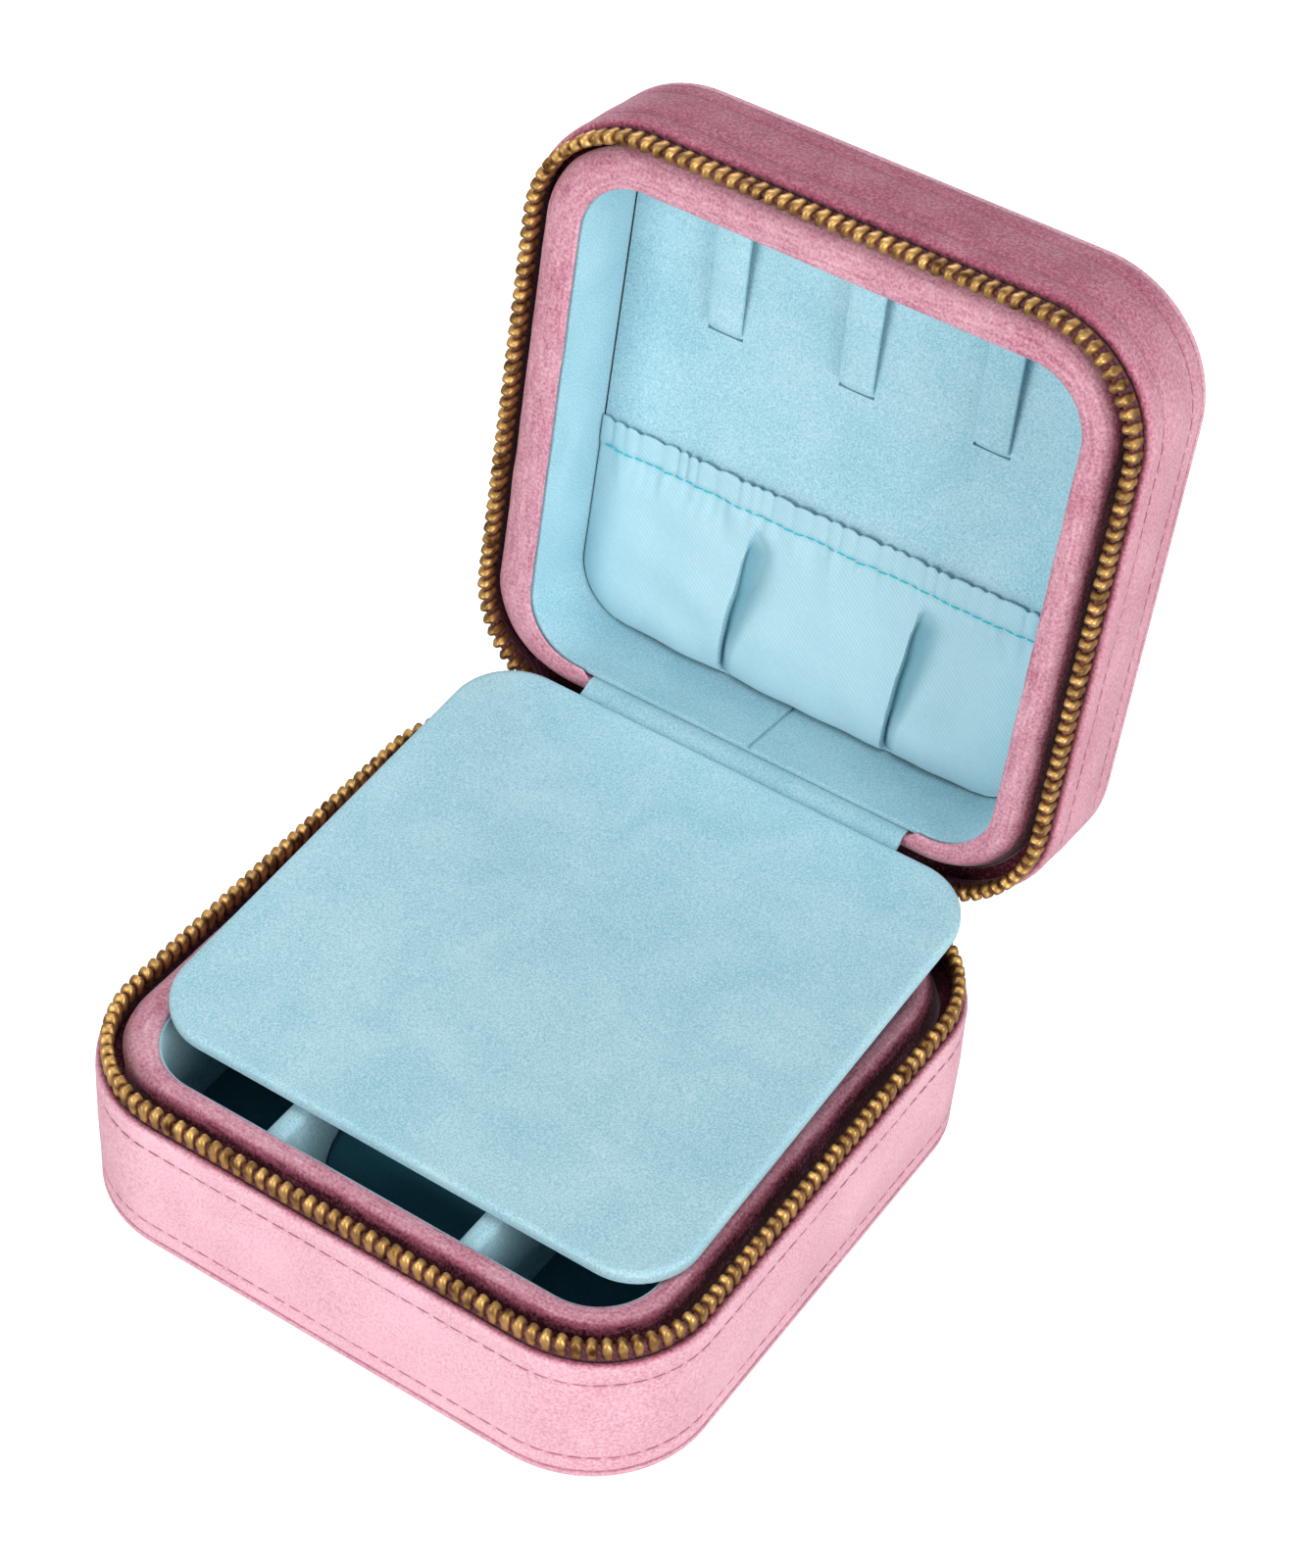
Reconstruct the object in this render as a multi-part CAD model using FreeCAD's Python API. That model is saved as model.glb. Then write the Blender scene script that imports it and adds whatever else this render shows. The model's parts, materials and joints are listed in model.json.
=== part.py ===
import FreeCAD, Part
import math
import os

# A square velvet travel jewelry box. A zip runs round the middle, the lid stands open on a velvet spine
# at the back, and a suede flap hinged on the lid covers the compartments. Millimetres, +Z up, +Y to the
# back. The origin is the centre of the underside. Lid and flap are drawn closed, then opened.

V = FreeCAD.Vector
X_AXIS = V(1, 0, 0)
Z_AXIS = V(0, 0, 1)

# Overall size of the closed box
width = 115.0
depth = 115.0
corner_radius = 22.0
base_height = 31.5
lid_height = 23.5

# How the open box stands: the lid's angle, and the gap under the flap where it rests on the collar
open_angle = 97.5
flap_rest_gap = 0.25

# Layers of the wall, from the outside in
cover_thickness = 1.7
tape_thickness = 0.6
board_thickness = 2.0
collar_thickness = 5.0
lining_thickness = 1.2
fit = 0.05

# Heights measured from the closing plane
zip_show = 4.7
collar_drop = 1.6
lining_drop = 2.2
lid_lining_drop = 2.7
tape_drop = 0.7
tape_height = 11.0
board_setback = 1.0

# Rounded edges
cover_roll = 0.7
panel_roll = 1.2
collar_roll = 2.1

# Zip rows
tooth_pitch = 2.32
tooth_length = 1.05
tooth_half_thickness = 1.1
tooth_reach = 0.35
tooth_leg = 3.3
stop_length = 2.4
spine_width = 37.0
row_end_gap = 0.5

# Inside of the base
floor_thickness = 1.3
divider_thickness = 3.7
divider_spacing = 37.4
divider_drop = 2.9
divider_roll = 1.4
roll_count = 5
roll_radius = 7.1
roll_pitch = 14.5
roll_flat = 0.4
soft_gap = 0.15

# Inside of the lid
panel_thickness = 1.3
lid_lining_gap = 0.6
strap_width = 6.5
strap_spacing = 25.6
strap_thickness = 1.0
strap_length = 27.5
strap_gap = 0.3
slit_width = 1.3
slit_spare = 0.6
pocket_height = 36.5
pocket_thickness = 0.8
pocket_bulge = 4.6
pocket_pleat_step = 0.9
pleat_left = -14.0
pleat_right = 19.5
elastic_height = 5.0
elastic_thickness = 0.5
elastic_inset = 10.0
elastic_end_lift = 1.0
elastic_mid_lift = 2.6

# Flap over the compartments
flap_lap = 2.0
flap_radius = 11.5
flap_thickness = 2.6
suede_thickness = 0.5
flap_edge_roll = 0.8
flap_hinge_width = 64.0
flap_hinge_gap = 0.05
flap_hinge_setback = 7.9
tail_thickness = 0.5
tail_depth = 5.0

# Zip slider and its pull
slider_length = 9.0
slider_half_height = 4.2
slider_inner_rise = 1.0
slider_plate = 0.9
slider_gap = 0.2
slider_post_length = 2.6
slider_travel = 6.0
pull_bar_radius = 0.6
pull_bar_gap = 0.1
pull_ring_wall = 0.7
pull_ring_length = 3.0
pull_lug = 1.0
pull_lug_gap = 0.2
pull_width = 5.5
pull_length = 18.0
pull_thickness = 0.9
pull_hole_radius = 1.3

# Values worked out from the sizes above
closing_z = base_height
total_height = base_height + lid_height
tape_out = cover_thickness + fit
tape_in = tape_out + tape_thickness
board_out = tape_in + fit
board_in = board_out + board_thickness
collar_out = board_in + fit
collar_in = collar_out + collar_thickness
lining_out = collar_in + fit
lining_in = lining_out + lining_thickness
lid_lining_out = collar_in + lid_lining_gap
lid_lining_in = lid_lining_out + lining_thickness
zip_inset = (tape_out + tape_in) / 2
floor_board_top = cover_thickness + board_thickness
floor_top = floor_board_top + floor_thickness
top_board_bottom = total_height - cover_thickness - board_thickness
panel_face = top_board_bottom - panel_thickness
hinge_y = depth / 2
hinge = V(0, hinge_y, closing_z)
flap_hinge_y = hinge_y - flap_hinge_setback
spine_half = spine_width / 2


def rounded_plate(x0, x1, y0, y1, radius, z0, z1):
    """A flat plate with rounded corners between two heights."""
    cut = radius * (1 - math.sqrt(0.5))
    sides = [
        (V(x0 + radius, y0, z0), V(x1 - radius, y0, z0), V(x1 - cut, y0 + cut, z0)),
        (V(x1, y0 + radius, z0), V(x1, y1 - radius, z0), V(x1 - cut, y1 - cut, z0)),
        (V(x1 - radius, y1, z0), V(x0 + radius, y1, z0), V(x0 + cut, y1 - cut, z0)),
        (V(x0, y1 - radius, z0), V(x0, y0 + radius, z0), V(x0 + cut, y0 + cut, z0)),
    ]
    edges = []
    for i, (start, end, bend) in enumerate(sides):
        edges.append(Part.LineSegment(start, end).toShape())
        edges.append(Part.Arc(end, bend, sides[(i + 1) % 4][0]).toShape())
    return Part.Face(Part.Wire(edges)).extrude(V(0, 0, z1 - z0))


def plate(inset, z0, z1):
    """The box's own plan, drawn in by an inset, as a plate."""
    x = width / 2 - inset
    y = depth / 2 - inset
    return rounded_plate(-x, x, -y, y, corner_radius - inset, z0, z1)


def ring(outer, inner, z0, z1):
    """A wall that follows the box's plan between two insets."""
    return plate(outer, z0, z1).cut(plate(inner, z0, z1))


def block(x0, x1, y0, y1, z0, z1):
    """A plain rectangular block."""
    return Part.makeBox(x1 - x0, y1 - y0, z1 - z0, V(x0, y0, z0))


def rolled(shape, z, radius):
    """The shape with its edges at one height rounded over."""
    rim = [e for e in shape.Edges if abs(e.BoundBox.ZMin - z) + abs(e.BoundBox.ZMax - z) < 0.01]
    return shape.makeFillet(radius, rim)


def prism_x(points, length):
    """A (y, z) outline pushed out along X, centred on x = 0."""
    corners = [V(-length / 2, y, z) for y, z in points]
    return Part.Face(Part.makePolygon(corners + corners[:1])).extrude(V(length, 0, 0))


def opened(shape):
    """A lid piece turned from closed to its open rest."""
    turned = shape.copy()
    turned.rotate(hinge, X_AXIS, -open_angle)
    return turned


def opened_point(point):
    """A point of the closed lid, turned to its open rest."""
    return FreeCAD.Placement(V(), FreeCAD.Rotation(X_AXIS, -open_angle), hinge).multVec(point)


def save(name, shape):
    """Write one piece under its own name."""
    shape.exportStep(f"parts/{name}.step")


def base_shell():
    """Velvet covers, stiff boards, collar and linings of the base."""
    cover_top = closing_z - zip_show
    save("base_bottom_cover", rolled(plate(0, 0, cover_thickness), 0, panel_roll))
    wall = ring(0, cover_thickness, cover_thickness, cover_top)
    save("base_wall_cover", rolled(wall, cover_top, cover_roll))
    save("base_bottom_board", plate(board_out, cover_thickness, floor_board_top))
    board_top = cover_top - board_setback
    save("base_wall_board", ring(board_out, board_in, floor_board_top, board_top))
    collar_top = closing_z - collar_drop
    collar = ring(collar_out, collar_in, floor_board_top, collar_top)
    save("base_collar", rolled(collar, collar_top, collar_roll))
    save("base_wall_lining", ring(lining_out, lining_in, floor_board_top, closing_z - lining_drop))
    save("base_floor_lining", plate(lining_in + fit, floor_board_top, floor_top))


def base_dividers():
    """Two suede-covered dividers that run from the front lining to the back one."""
    y = depth / 2 - lining_in - fit
    top = closing_z - divider_drop
    for name, side in (("left", -1), ("right", 1)):
        x = side * divider_spacing / 2
        half = divider_thickness / 2
        wall = block(x - half, x + half, -y, y, floor_top, top)
        long_edges = [e for e in wall.Edges if e.BoundBox.ZMin > top - fit and e.BoundBox.YLength > y]
        save(f"divider_{name}", wall.makeFillet(divider_roll, long_edges))


def ring_rolls():
    """Soft rolls across the middle compartment, flat where they lie on the floor."""
    half = divider_spacing / 2 - divider_thickness / 2 - soft_gap
    centre_z = floor_top + roll_radius - roll_flat
    for i in range(roll_count):
        y = (i - (roll_count - 1) / 2) * roll_pitch
        roll = Part.makeCylinder(roll_radius, 2 * half, V(-half, y, centre_z), X_AXIS)
        under = block(-half, half, y - roll_radius, y + roll_radius, floor_top - roll_radius, floor_top)
        save(f"ring_roll_{i + 1}", roll.cut(under))


def zip_path(distance):
    """Point and outward angle on the zip line, measured leftwards from the middle of the back."""
    x = width / 2 - zip_inset
    y = depth / 2 - zip_inset
    radius = corner_radius - zip_inset
    bend = radius * math.pi / 2
    straights = [x - radius, 2 * (y - radius), 2 * (x - radius), 2 * (y - radius), x - radius]
    along = V(-1, 0, 0)
    start = V(0, y, 0)
    angle = 90.0
    for straight in straights:
        if distance <= straight:
            return start + along * distance, angle
        distance -= straight
        start = start + along * straight
        outward = V(math.cos(math.radians(angle)), math.sin(math.radians(angle)), 0)
        centre = start - outward * radius
        if distance <= bend:
            turned = angle + math.degrees(distance / radius)
            out = V(math.cos(math.radians(turned)), math.sin(math.radians(turned)), 0)
            return centre + out * radius, turned
        distance -= bend
        angle += 90.0
        start = centre + V(math.cos(math.radians(angle)), math.sin(math.radians(angle)), 0) * radius
        along = V(-math.sin(math.radians(angle)), math.cos(math.radians(angle)), 0)
    return start, angle


def zip_length():
    """Length of the whole zip line round the box."""
    radius = corner_radius - zip_inset
    return 2 * (width - 2 * corner_radius) + 2 * (depth - 2 * corner_radius) + 2 * math.pi * radius


def tooth(length, reach):
    """A metal clamp: two legs astride the tape, and a head that reaches towards the other row."""
    half = tape_thickness / 2 + fit
    crook = -tape_drop + fit
    outline = [
        (-tooth_half_thickness, -tooth_leg), (-half, -tooth_leg), (-half, crook), (half, crook),
        (half, -tooth_leg), (tooth_half_thickness, -tooth_leg),
        (tooth_half_thickness, reach), (-tooth_half_thickness, reach),
    ]
    return prism_x(outline, length)


def placed(shape, distance):
    """A zip piece set on the zip line, facing outwards."""
    point, angle = zip_path(distance)
    piece = shape.copy()
    piece.rotate(V(), Z_AXIS, angle - 90.0)
    piece.translate(point + V(0, 0, closing_z))
    return piece


def zip_row(first, last, phase):
    """Teeth on one shared pitch grid, shifted by a phase, with a stop at each end of the row."""
    one = tooth(tooth_length, tooth_reach)
    stop = tooth(stop_length, -tooth_reach - fit)
    margin = row_end_gap + stop_length + tooth_pitch / 2
    middle = zip_length() / 2
    low = math.ceil((first + margin - middle) / tooth_pitch - phase)
    high = math.floor((last - margin - middle) / tooth_pitch - phase)
    teeth = [placed(one, middle + (k + phase) * tooth_pitch) for k in range(low, high + 1)]
    to_stop = row_end_gap + stop_length / 2
    stops = [placed(stop, first + to_stop), placed(stop, last - to_stop)]
    return Part.makeCompound(teeth), Part.makeCompound(stops)


def slider_parked_x():
    """The parked slider's end beside the spine, clear of the row's stop."""
    return -spine_half - stop_length - 2 * row_end_gap


def tape(first_x, last_x):
    """Zip tape round the box, left out across the back between two places."""
    top = closing_z - tape_drop
    strip = ring(tape_out, tape_in, top - tape_height, top)
    gap = block(first_x, last_x, 0, depth, top - tape_height, top)
    return strip.cut(gap)


def flipped(shape):
    """A base zip piece turned over into the lid, mirrored in the closing plane."""
    return shape.mirror(V(0, 0, closing_z), Z_AXIS)


def zip_chain():
    """Both tapes and rows. The lid's row starts past the slider's run, half a pitch out of step."""
    end = spine_half
    lid_start = -slider_parked_x() + slider_length + slider_travel + row_end_gap
    whole = zip_length()
    save("base_zip_tape", tape(-end, end))
    save("lid_zip_tape", opened(flipped(tape(-lid_start, end))))
    teeth, stops = zip_row(end, whole - end, 0.0)
    save("base_zip_teeth", teeth)
    save("base_zip_stops", stops)
    teeth, stops = zip_row(lid_start, whole - end, 0.5)
    save("lid_zip_teeth", opened(flipped(teeth)))
    save("lid_zip_stops", opened(flipped(stops)))


def lid_shell():
    """Velvet covers, boards, collar and linings of the lid."""
    cover_edge = closing_z + zip_show
    cover_end = total_height - cover_thickness
    wall = ring(0, cover_thickness, cover_edge, cover_end)
    save("lid_wall_cover", opened(rolled(wall, cover_edge, cover_roll)))
    top = plate(0, cover_end, total_height)
    save("lid_top_cover", opened(rolled(top, total_height, panel_roll)))
    save("lid_top_board", opened(plate(board_out, top_board_bottom, cover_end)))
    board = ring(board_out, board_in, cover_edge + board_setback, top_board_bottom)
    save("lid_wall_board", opened(board))
    collar_edge = closing_z + collar_drop
    collar = ring(collar_out, collar_in, collar_edge, top_board_bottom)
    save("lid_collar", opened(rolled(collar, collar_edge, collar_roll)))
    lining = ring(lid_lining_out, lid_lining_in, closing_z + lid_lining_drop, panel_face)
    save("lid_wall_lining", opened(lining))


def strap_places():
    """Left, middle and right of the three necklace straps."""
    return (("left", -strap_spacing), ("centre", 0.0), ("right", strap_spacing))


def strap_root():
    """Where the straps are sewn: under the front lining of the closed lid."""
    return -(depth / 2 - lid_lining_in - strap_gap)


def lid_panel():
    """The panel inside the lid, with a slit for the end of each strap."""
    panel = plate(collar_in + fit, panel_face, top_board_bottom)
    slit_y = strap_root() + strap_length
    half = strap_width / 2 + slit_spare
    for _, x in strap_places():
        panel = panel.cut(block(x - half, x + half, slit_y, slit_y + slit_width, panel_face, top_board_bottom))
    save("lid_panel", opened(panel))


def necklace_straps():
    """Three suede straps that hang flat on the panel, with rounded ends at their slits."""
    y0 = strap_root()
    y1 = y0 + strap_length
    top = panel_face - strap_gap
    bottom = top - strap_thickness
    half = strap_width / 2
    for name, x in strap_places():
        strap = rounded_plate(x - half, x + half, y0, y1, half / 2, bottom, top)
        save(f"necklace_strap_{name}", opened(strap))


def pocket_section(y, half, lift):
    """One cross-section of the pocket cloth: three swells with a pleat step between them."""
    def sheet(raised):
        marks = [(-half, 0.0), (pleat_left, lift), (pleat_left + pocket_pleat_step, lift - pocket_pleat_step),
                 (pleat_right, lift), (pleat_right + pocket_pleat_step, lift - pocket_pleat_step), (half, 0.0)]
        return [V(x, y, panel_face - strap_gap - max(up, 0.0) - raised) for x, up in marks]

    def run(points):
        edges = []
        for i, (start, end) in enumerate(zip(points, points[1:])):
            if i % 2:
                edges.append(Part.LineSegment(start, end).toShape())
            else:
                middle = (start + end) / 2 - V(0, 0, pocket_pleat_step)
                edges.append(Part.Arc(start, middle, end).toShape())
        return edges

    front = sheet(pocket_thickness)
    back = sheet(0.0)
    edges = run(front) + [Part.LineSegment(front[-1], back[-1]).toShape()]
    edges += [e.copy() for e in reversed(run(back))] + [Part.LineSegment(back[0], front[0]).toShape()]
    return Part.Wire(Part.__sortEdges__(edges))


def pocket():
    """The gathered pocket: a swelling cloth with two pleats, open along its elastic edge."""
    bottom = depth / 2 - lid_lining_in - strap_gap
    mouth = bottom - pocket_height
    widest = width / 2 - lid_lining_in - strap_gap
    round_in = corner_radius - lid_lining_in
    stations = [(0.0, widest - round_in, 0.25), (round_in / 3, widest - round_in / 4, 0.7),
                (round_in, widest, 1.0), (pocket_height, widest, 0.95)]
    wires = []
    for up, half, share in stations:
        wires.append(pocket_section(bottom - up, half, pocket_bulge * share))
    save("pocket_cloth", opened(Part.makeLoft(wires, True, True)))
    pocket_elastic(mouth, widest - elastic_inset)


def pocket_elastic(mouth, half):
    """Elastic band behind the pocket's hem, bowed with the cloth."""
    def bow(raised):
        def at(x, lift):
            return V(x, mouth, panel_face - strap_gap - lift - raised)
        return at(-half, elastic_end_lift), at(0, elastic_mid_lift), at(half, elastic_end_lift)

    near = bow(elastic_thickness)
    far = bow(0.0)
    outline = Part.Wire([
        Part.Arc(*near).toShape(),
        Part.LineSegment(near[2], far[2]).toShape(),
        Part.Arc(far[2], far[1], far[0]).toShape(),
        Part.LineSegment(far[0], near[0]).toShape(),
    ])
    save("pocket_elastic", opened(Part.Face(outline).extrude(V(0, elastic_height, 0))))


def flap_pieces():
    """Suede-covered flap, drawn flat in the closing plane, then carried back and tilted onto the collar."""
    half_width = width / 2 - collar_in + flap_lap
    front = -(depth / 2 - collar_in + flap_lap)
    bead_radius = flap_thickness / 2
    rear = flap_hinge_y - bead_radius - flap_hinge_gap
    low = closing_z - flap_thickness / 2
    high = low + flap_thickness
    skin = low + suede_thickness
    pivot = opened_point(V(0, flap_hinge_y, closing_z))
    reach = flap_hinge_y - front
    drop = pivot.z - flap_thickness / 2 - (closing_z - collar_drop) - flap_rest_gap
    tilt = math.degrees(math.asin(drop / reach))
    print(f"flap pivot {pivot.y:.3f} {pivot.z:.3f}, tilt {tilt:.3f} degrees")

    def laid(shape):
        piece = shape.copy()
        piece.translate(pivot - V(0, flap_hinge_y, closing_z))
        piece.rotate(pivot, X_AXIS, tilt)
        return piece

    def outline(inset, z0, z1):
        return rounded_plate(-half_width + inset, half_width - inset, front + inset, rear - inset,
                             flap_radius - inset, z0, z1)

    save("flap_lining", laid(outline(0, low, skin)))
    core_top = high - suede_thickness
    shell = rolled(outline(0, skin, high), high, flap_edge_roll)
    save("flap_cover", laid(shell.cut(outline(suede_thickness, skin, core_top))))
    save("flap_board", laid(outline(suede_thickness + fit, skin, core_top)))
    bead = Part.makeCylinder(bead_radius, flap_hinge_width, V(-flap_hinge_width / 2, pivot.y, pivot.z), X_AXIS)
    save("flap_hinge_roll", bead)
    tail_y = depth / 2 - collar_in - fit
    tail_top = closing_z + collar_drop
    tail = block(-flap_hinge_width / 2, flap_hinge_width / 2, tail_y - tail_thickness, tail_y,
                 tail_top, tail_top + tail_depth)
    save("flap_hinge_tail", opened(tail))


def spine():
    """Velvet strip across the back, bent round the hinge line from the base cover to the lid cover."""
    inner_y = hinge_y - cover_thickness
    low = closing_z - zip_show
    half_turn = math.radians(open_angle / 2)
    lid_outer = opened_point(V(0, hinge_y, closing_z + zip_show))
    lid_inner = opened_point(V(0, inner_y, closing_z + zip_show))
    lid_bend = opened_point(V(0, inner_y, closing_z))
    base_bend = V(0, inner_y, closing_z)
    middle = hinge + V(0, -math.cos(half_turn), math.sin(half_turn)) * cover_thickness
    corners = [base_bend, V(0, inner_y, low), V(0, hinge_y, low), hinge, lid_outer, lid_inner, lid_bend]
    edges = [Part.LineSegment(a, b).toShape() for a, b in zip(corners, corners[1:])]
    edges.append(Part.Arc(lid_bend, middle, base_bend).toShape())
    strip = Part.Face(Part.Wire(edges)).extrude(V(spine_width, 0, 0))
    strip.translate(V(-spine_half, 0, 0))
    save("spine", strip)


def zip_slider():
    """Slider parked on the base row beside the spine, and its pull tab hanging from a bar."""
    x1 = slider_parked_x()
    x0 = x1 - slider_length
    y = depth / 2 - zip_inset
    clear = tooth_half_thickness + slider_gap
    low = closing_z - slider_half_height
    high = closing_z + slider_half_height
    lip_top = closing_z - tooth_leg - slider_gap
    lip_inner = tape_thickness / 2 + slider_gap
    face = y + clear + slider_plate
    post_low = closing_z + tooth_reach + slider_gap
    pieces = [
        block(x0, x1, y + clear, face, low, high),
        block(x0, x1, y - clear - slider_plate, y - clear, low, closing_z + slider_inner_rise),
        block(x0, x1, y + lip_inner, y + clear, low, lip_top),
        block(x0, x1, y - clear, y - lip_inner, low, lip_top),
        block(x0, x0 + slider_post_length, y - clear, y + clear, post_low, closing_z + slider_inner_rise),
    ]
    bore = pull_bar_radius + pull_bar_gap
    ring_radius = bore + pull_ring_wall
    bar_y = face + ring_radius + pull_lug_gap
    middle = (x0 + x1) / 2
    half_gap = pull_ring_length / 2 + pull_lug_gap
    for side in (-1, 1):
        inner = middle + side * half_gap
        outer = inner + side * pull_lug
        pieces.append(block(min(inner, outer), max(inner, outer), face, bar_y + pull_bar_radius,
                            closing_z - pull_bar_radius, closing_z + pull_bar_radius))
    bar = Part.makeCylinder(pull_bar_radius, 2 * half_gap, V(middle - half_gap, bar_y, closing_z), X_AXIS)
    save("zip_slider", bar.fuse(pieces).removeSplitter())

    eye = Part.makeCylinder(ring_radius, pull_ring_length, V(middle - pull_ring_length / 2, bar_y, closing_z), X_AXIS)
    neck_top = closing_z - bore
    neck = block(middle - pull_ring_length / 2, middle + pull_ring_length / 2, bar_y - pull_thickness / 2,
                 bar_y + pull_thickness / 2, closing_z - 2 * ring_radius - pull_lug, neck_top)
    tab_top = closing_z - 2 * ring_radius
    tab = rounded_plate(-pull_width / 2, pull_width / 2, -pull_length, 0, pull_width / 2.5, 0, pull_thickness)
    tab = tab.cut(Part.makeCylinder(pull_hole_radius, pull_thickness, V(0, pull_width / 2 - pull_length, 0)))
    tab.rotate(V(), X_AXIS, 90)
    tab.translate(V(middle, bar_y + pull_thickness / 2, tab_top))
    pull = eye.fuse([neck, tab]).removeSplitter()
    hole = Part.makeCylinder(bore, pull_ring_length, V(middle - pull_ring_length / 2, bar_y, closing_z), X_AXIS)
    save("zip_pull", pull.cut(hole))
    print(f"pull bar at x {middle:.3f} y {bar_y:.3f}")


os.makedirs("parts", exist_ok=True)
base_shell()
base_dividers()
ring_rolls()
zip_chain()
lid_shell()
lid_panel()
necklace_straps()
pocket()
flap_pieces()
spine()
zip_slider()
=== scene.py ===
# %% [markdown]
# This lesson dresses a square velvet travel jewelry box. The engineered solids already hold the sizes, the
# hinge and the zip, so Blender only adds what the eye wants: padded velvet, blue suede, a gathered pocket,
# stitches and brass teeth. The solids are loaded first and never moved.

# %% Load the engineered box
import json
import math
from collections import namedtuple

import bmesh
import bpy
from mathutils import Matrix, Vector, noise


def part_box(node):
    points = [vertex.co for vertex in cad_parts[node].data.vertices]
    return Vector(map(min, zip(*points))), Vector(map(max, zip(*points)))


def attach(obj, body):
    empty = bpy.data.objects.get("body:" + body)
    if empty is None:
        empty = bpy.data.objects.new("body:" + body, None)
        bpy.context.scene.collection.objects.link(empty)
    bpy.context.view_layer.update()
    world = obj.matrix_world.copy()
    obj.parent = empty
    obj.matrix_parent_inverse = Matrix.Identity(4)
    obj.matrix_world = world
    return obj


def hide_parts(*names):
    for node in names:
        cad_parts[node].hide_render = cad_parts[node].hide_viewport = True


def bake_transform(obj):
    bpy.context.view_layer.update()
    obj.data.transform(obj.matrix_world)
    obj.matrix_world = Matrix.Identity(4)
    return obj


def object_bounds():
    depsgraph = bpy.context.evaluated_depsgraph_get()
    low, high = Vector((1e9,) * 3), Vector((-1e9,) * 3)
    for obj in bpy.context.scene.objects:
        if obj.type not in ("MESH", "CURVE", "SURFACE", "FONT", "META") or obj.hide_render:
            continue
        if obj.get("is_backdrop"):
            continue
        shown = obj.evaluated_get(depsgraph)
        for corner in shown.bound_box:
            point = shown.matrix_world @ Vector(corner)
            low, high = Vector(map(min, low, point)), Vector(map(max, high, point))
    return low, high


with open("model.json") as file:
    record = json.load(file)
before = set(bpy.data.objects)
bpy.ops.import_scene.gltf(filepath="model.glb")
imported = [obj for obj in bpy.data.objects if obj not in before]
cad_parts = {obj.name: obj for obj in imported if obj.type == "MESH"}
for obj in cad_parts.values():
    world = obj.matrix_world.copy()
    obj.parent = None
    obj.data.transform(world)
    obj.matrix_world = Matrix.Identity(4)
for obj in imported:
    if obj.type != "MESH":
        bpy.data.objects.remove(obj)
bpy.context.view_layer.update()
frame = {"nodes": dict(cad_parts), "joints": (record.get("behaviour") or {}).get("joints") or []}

MM = 0.001
joints = {joint["name"]: joint for joint in frame["joints"]}

# %% [markdown]
# Everything follows one plan: a square with round corners. A layer of the wall is that plan drawn in by an
# inset, so a few insets and heights in millimetres place every velvet, suede and zip layer. The overall size
# and the hinge are read from the solids, and the lid is drawn closed and then turned open with one helper.

# %% The plan, the heights and the hinge
Plan = namedtuple("Plan", "half_x half_y radius middle_y")
base_cover_low, base_cover_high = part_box("base_wall_cover")
HALF = base_cover_high.x / MM
CORNER = 22.0
BOX = Plan(HALF, HALF, CORNER, 0.0)
HINGE = Vector(joints["lid_hinge"]["pos_m"])
OPEN = math.radians(-joints["lid_hinge"]["range_deg"][0])
CLOSING = HINGE.z / MM
COVER_TOP = base_cover_high.z / MM
COVER_BOTTOM = base_cover_low.z / MM
COLLAR_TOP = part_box("base_collar")[1].z / MM
LINING_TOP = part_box("base_wall_lining")[1].z / MM
FLOOR_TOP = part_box("base_floor_lining")[1].z / MM
LID_HEIGHT = 23.5
LID_TOP_THICK = 3.7
PANEL_DEPTH = 5.0
TOTAL = CLOSING + LID_HEIGHT
PANEL_FACE = TOTAL - PANEL_DEPTH
COVER = 1.7
COLLAR_OUT, COLLAR_IN = 4.45, 9.45
LINING_OUT, LINING_IN = 9.5, 10.7
LID_LINING_OUT, LID_LINING_IN = 10.05, 11.25
LID_FIT = 0.3
HALVES = ("base", "lid")
print("half width", HALF, "closing plane", CLOSING, "open by", round(math.degrees(OPEN), 2))


def mirrored(z):
    """A height mirrored in the closing plane, from the base to the closed lid or back."""
    return 2 * CLOSING - z


def in_half(half, profile):
    """A profile drawn for the base: as it is, or turned over into the closed lid."""
    return [(inset, mirrored(z)) for inset, z in profile] if half == "lid" else profile


def open_lid(bm):
    """Turns a piece that was drawn in the closed lid to the lid's open rest."""
    bmesh.ops.rotate(bm, cent=HINGE, matrix=Matrix.Rotation(-OPEN, 3, "X"), verts=bm.verts)


# %% [markdown]
# A wall that runs round the box could be lofted by hand from vertex lists. It is simpler to start from a
# square face, bevel its four corners into arcs, and extrude the outline again and again. After each extrusion
# every vertex slides to its new inset, along the line from the corner's centre, so round corners stay round.

# %% Round-cornered loops
LOOP_BENDS = 22
LOOP_SIDES = 44


def rounded_loop(bm, plan, inset, z, bends=LOOP_BENDS):
    """Edges of one round-cornered rectangle, with its straight sides divided."""
    corners = bmesh.ops.create_grid(bm, x_segments=1, y_segments=1, size=1.0)["verts"]
    size = ((plan.half_x - inset) * MM, (plan.half_y - inset) * MM, 1.0)
    bmesh.ops.scale(bm, vec=size, verts=corners)
    bmesh.ops.translate(bm, vec=(0, plan.middle_y * MM, z * MM), verts=corners)
    bmesh.ops.bevel(bm, geom=corners, offset=(plan.radius - inset) * MM, offset_type="OFFSET",
                    affect="VERTICES", segments=bends, profile=0.5, material=-1)
    longest = sorted(bm.edges, key=lambda edge: edge.calc_length())[-4:]
    bmesh.ops.subdivide_edges(bm, edges=longest, cuts=LOOP_SIDES - 1)
    bmesh.ops.delete(bm, geom=list(bm.faces), context="FACES_ONLY")
    return list(bm.edges)


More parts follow.
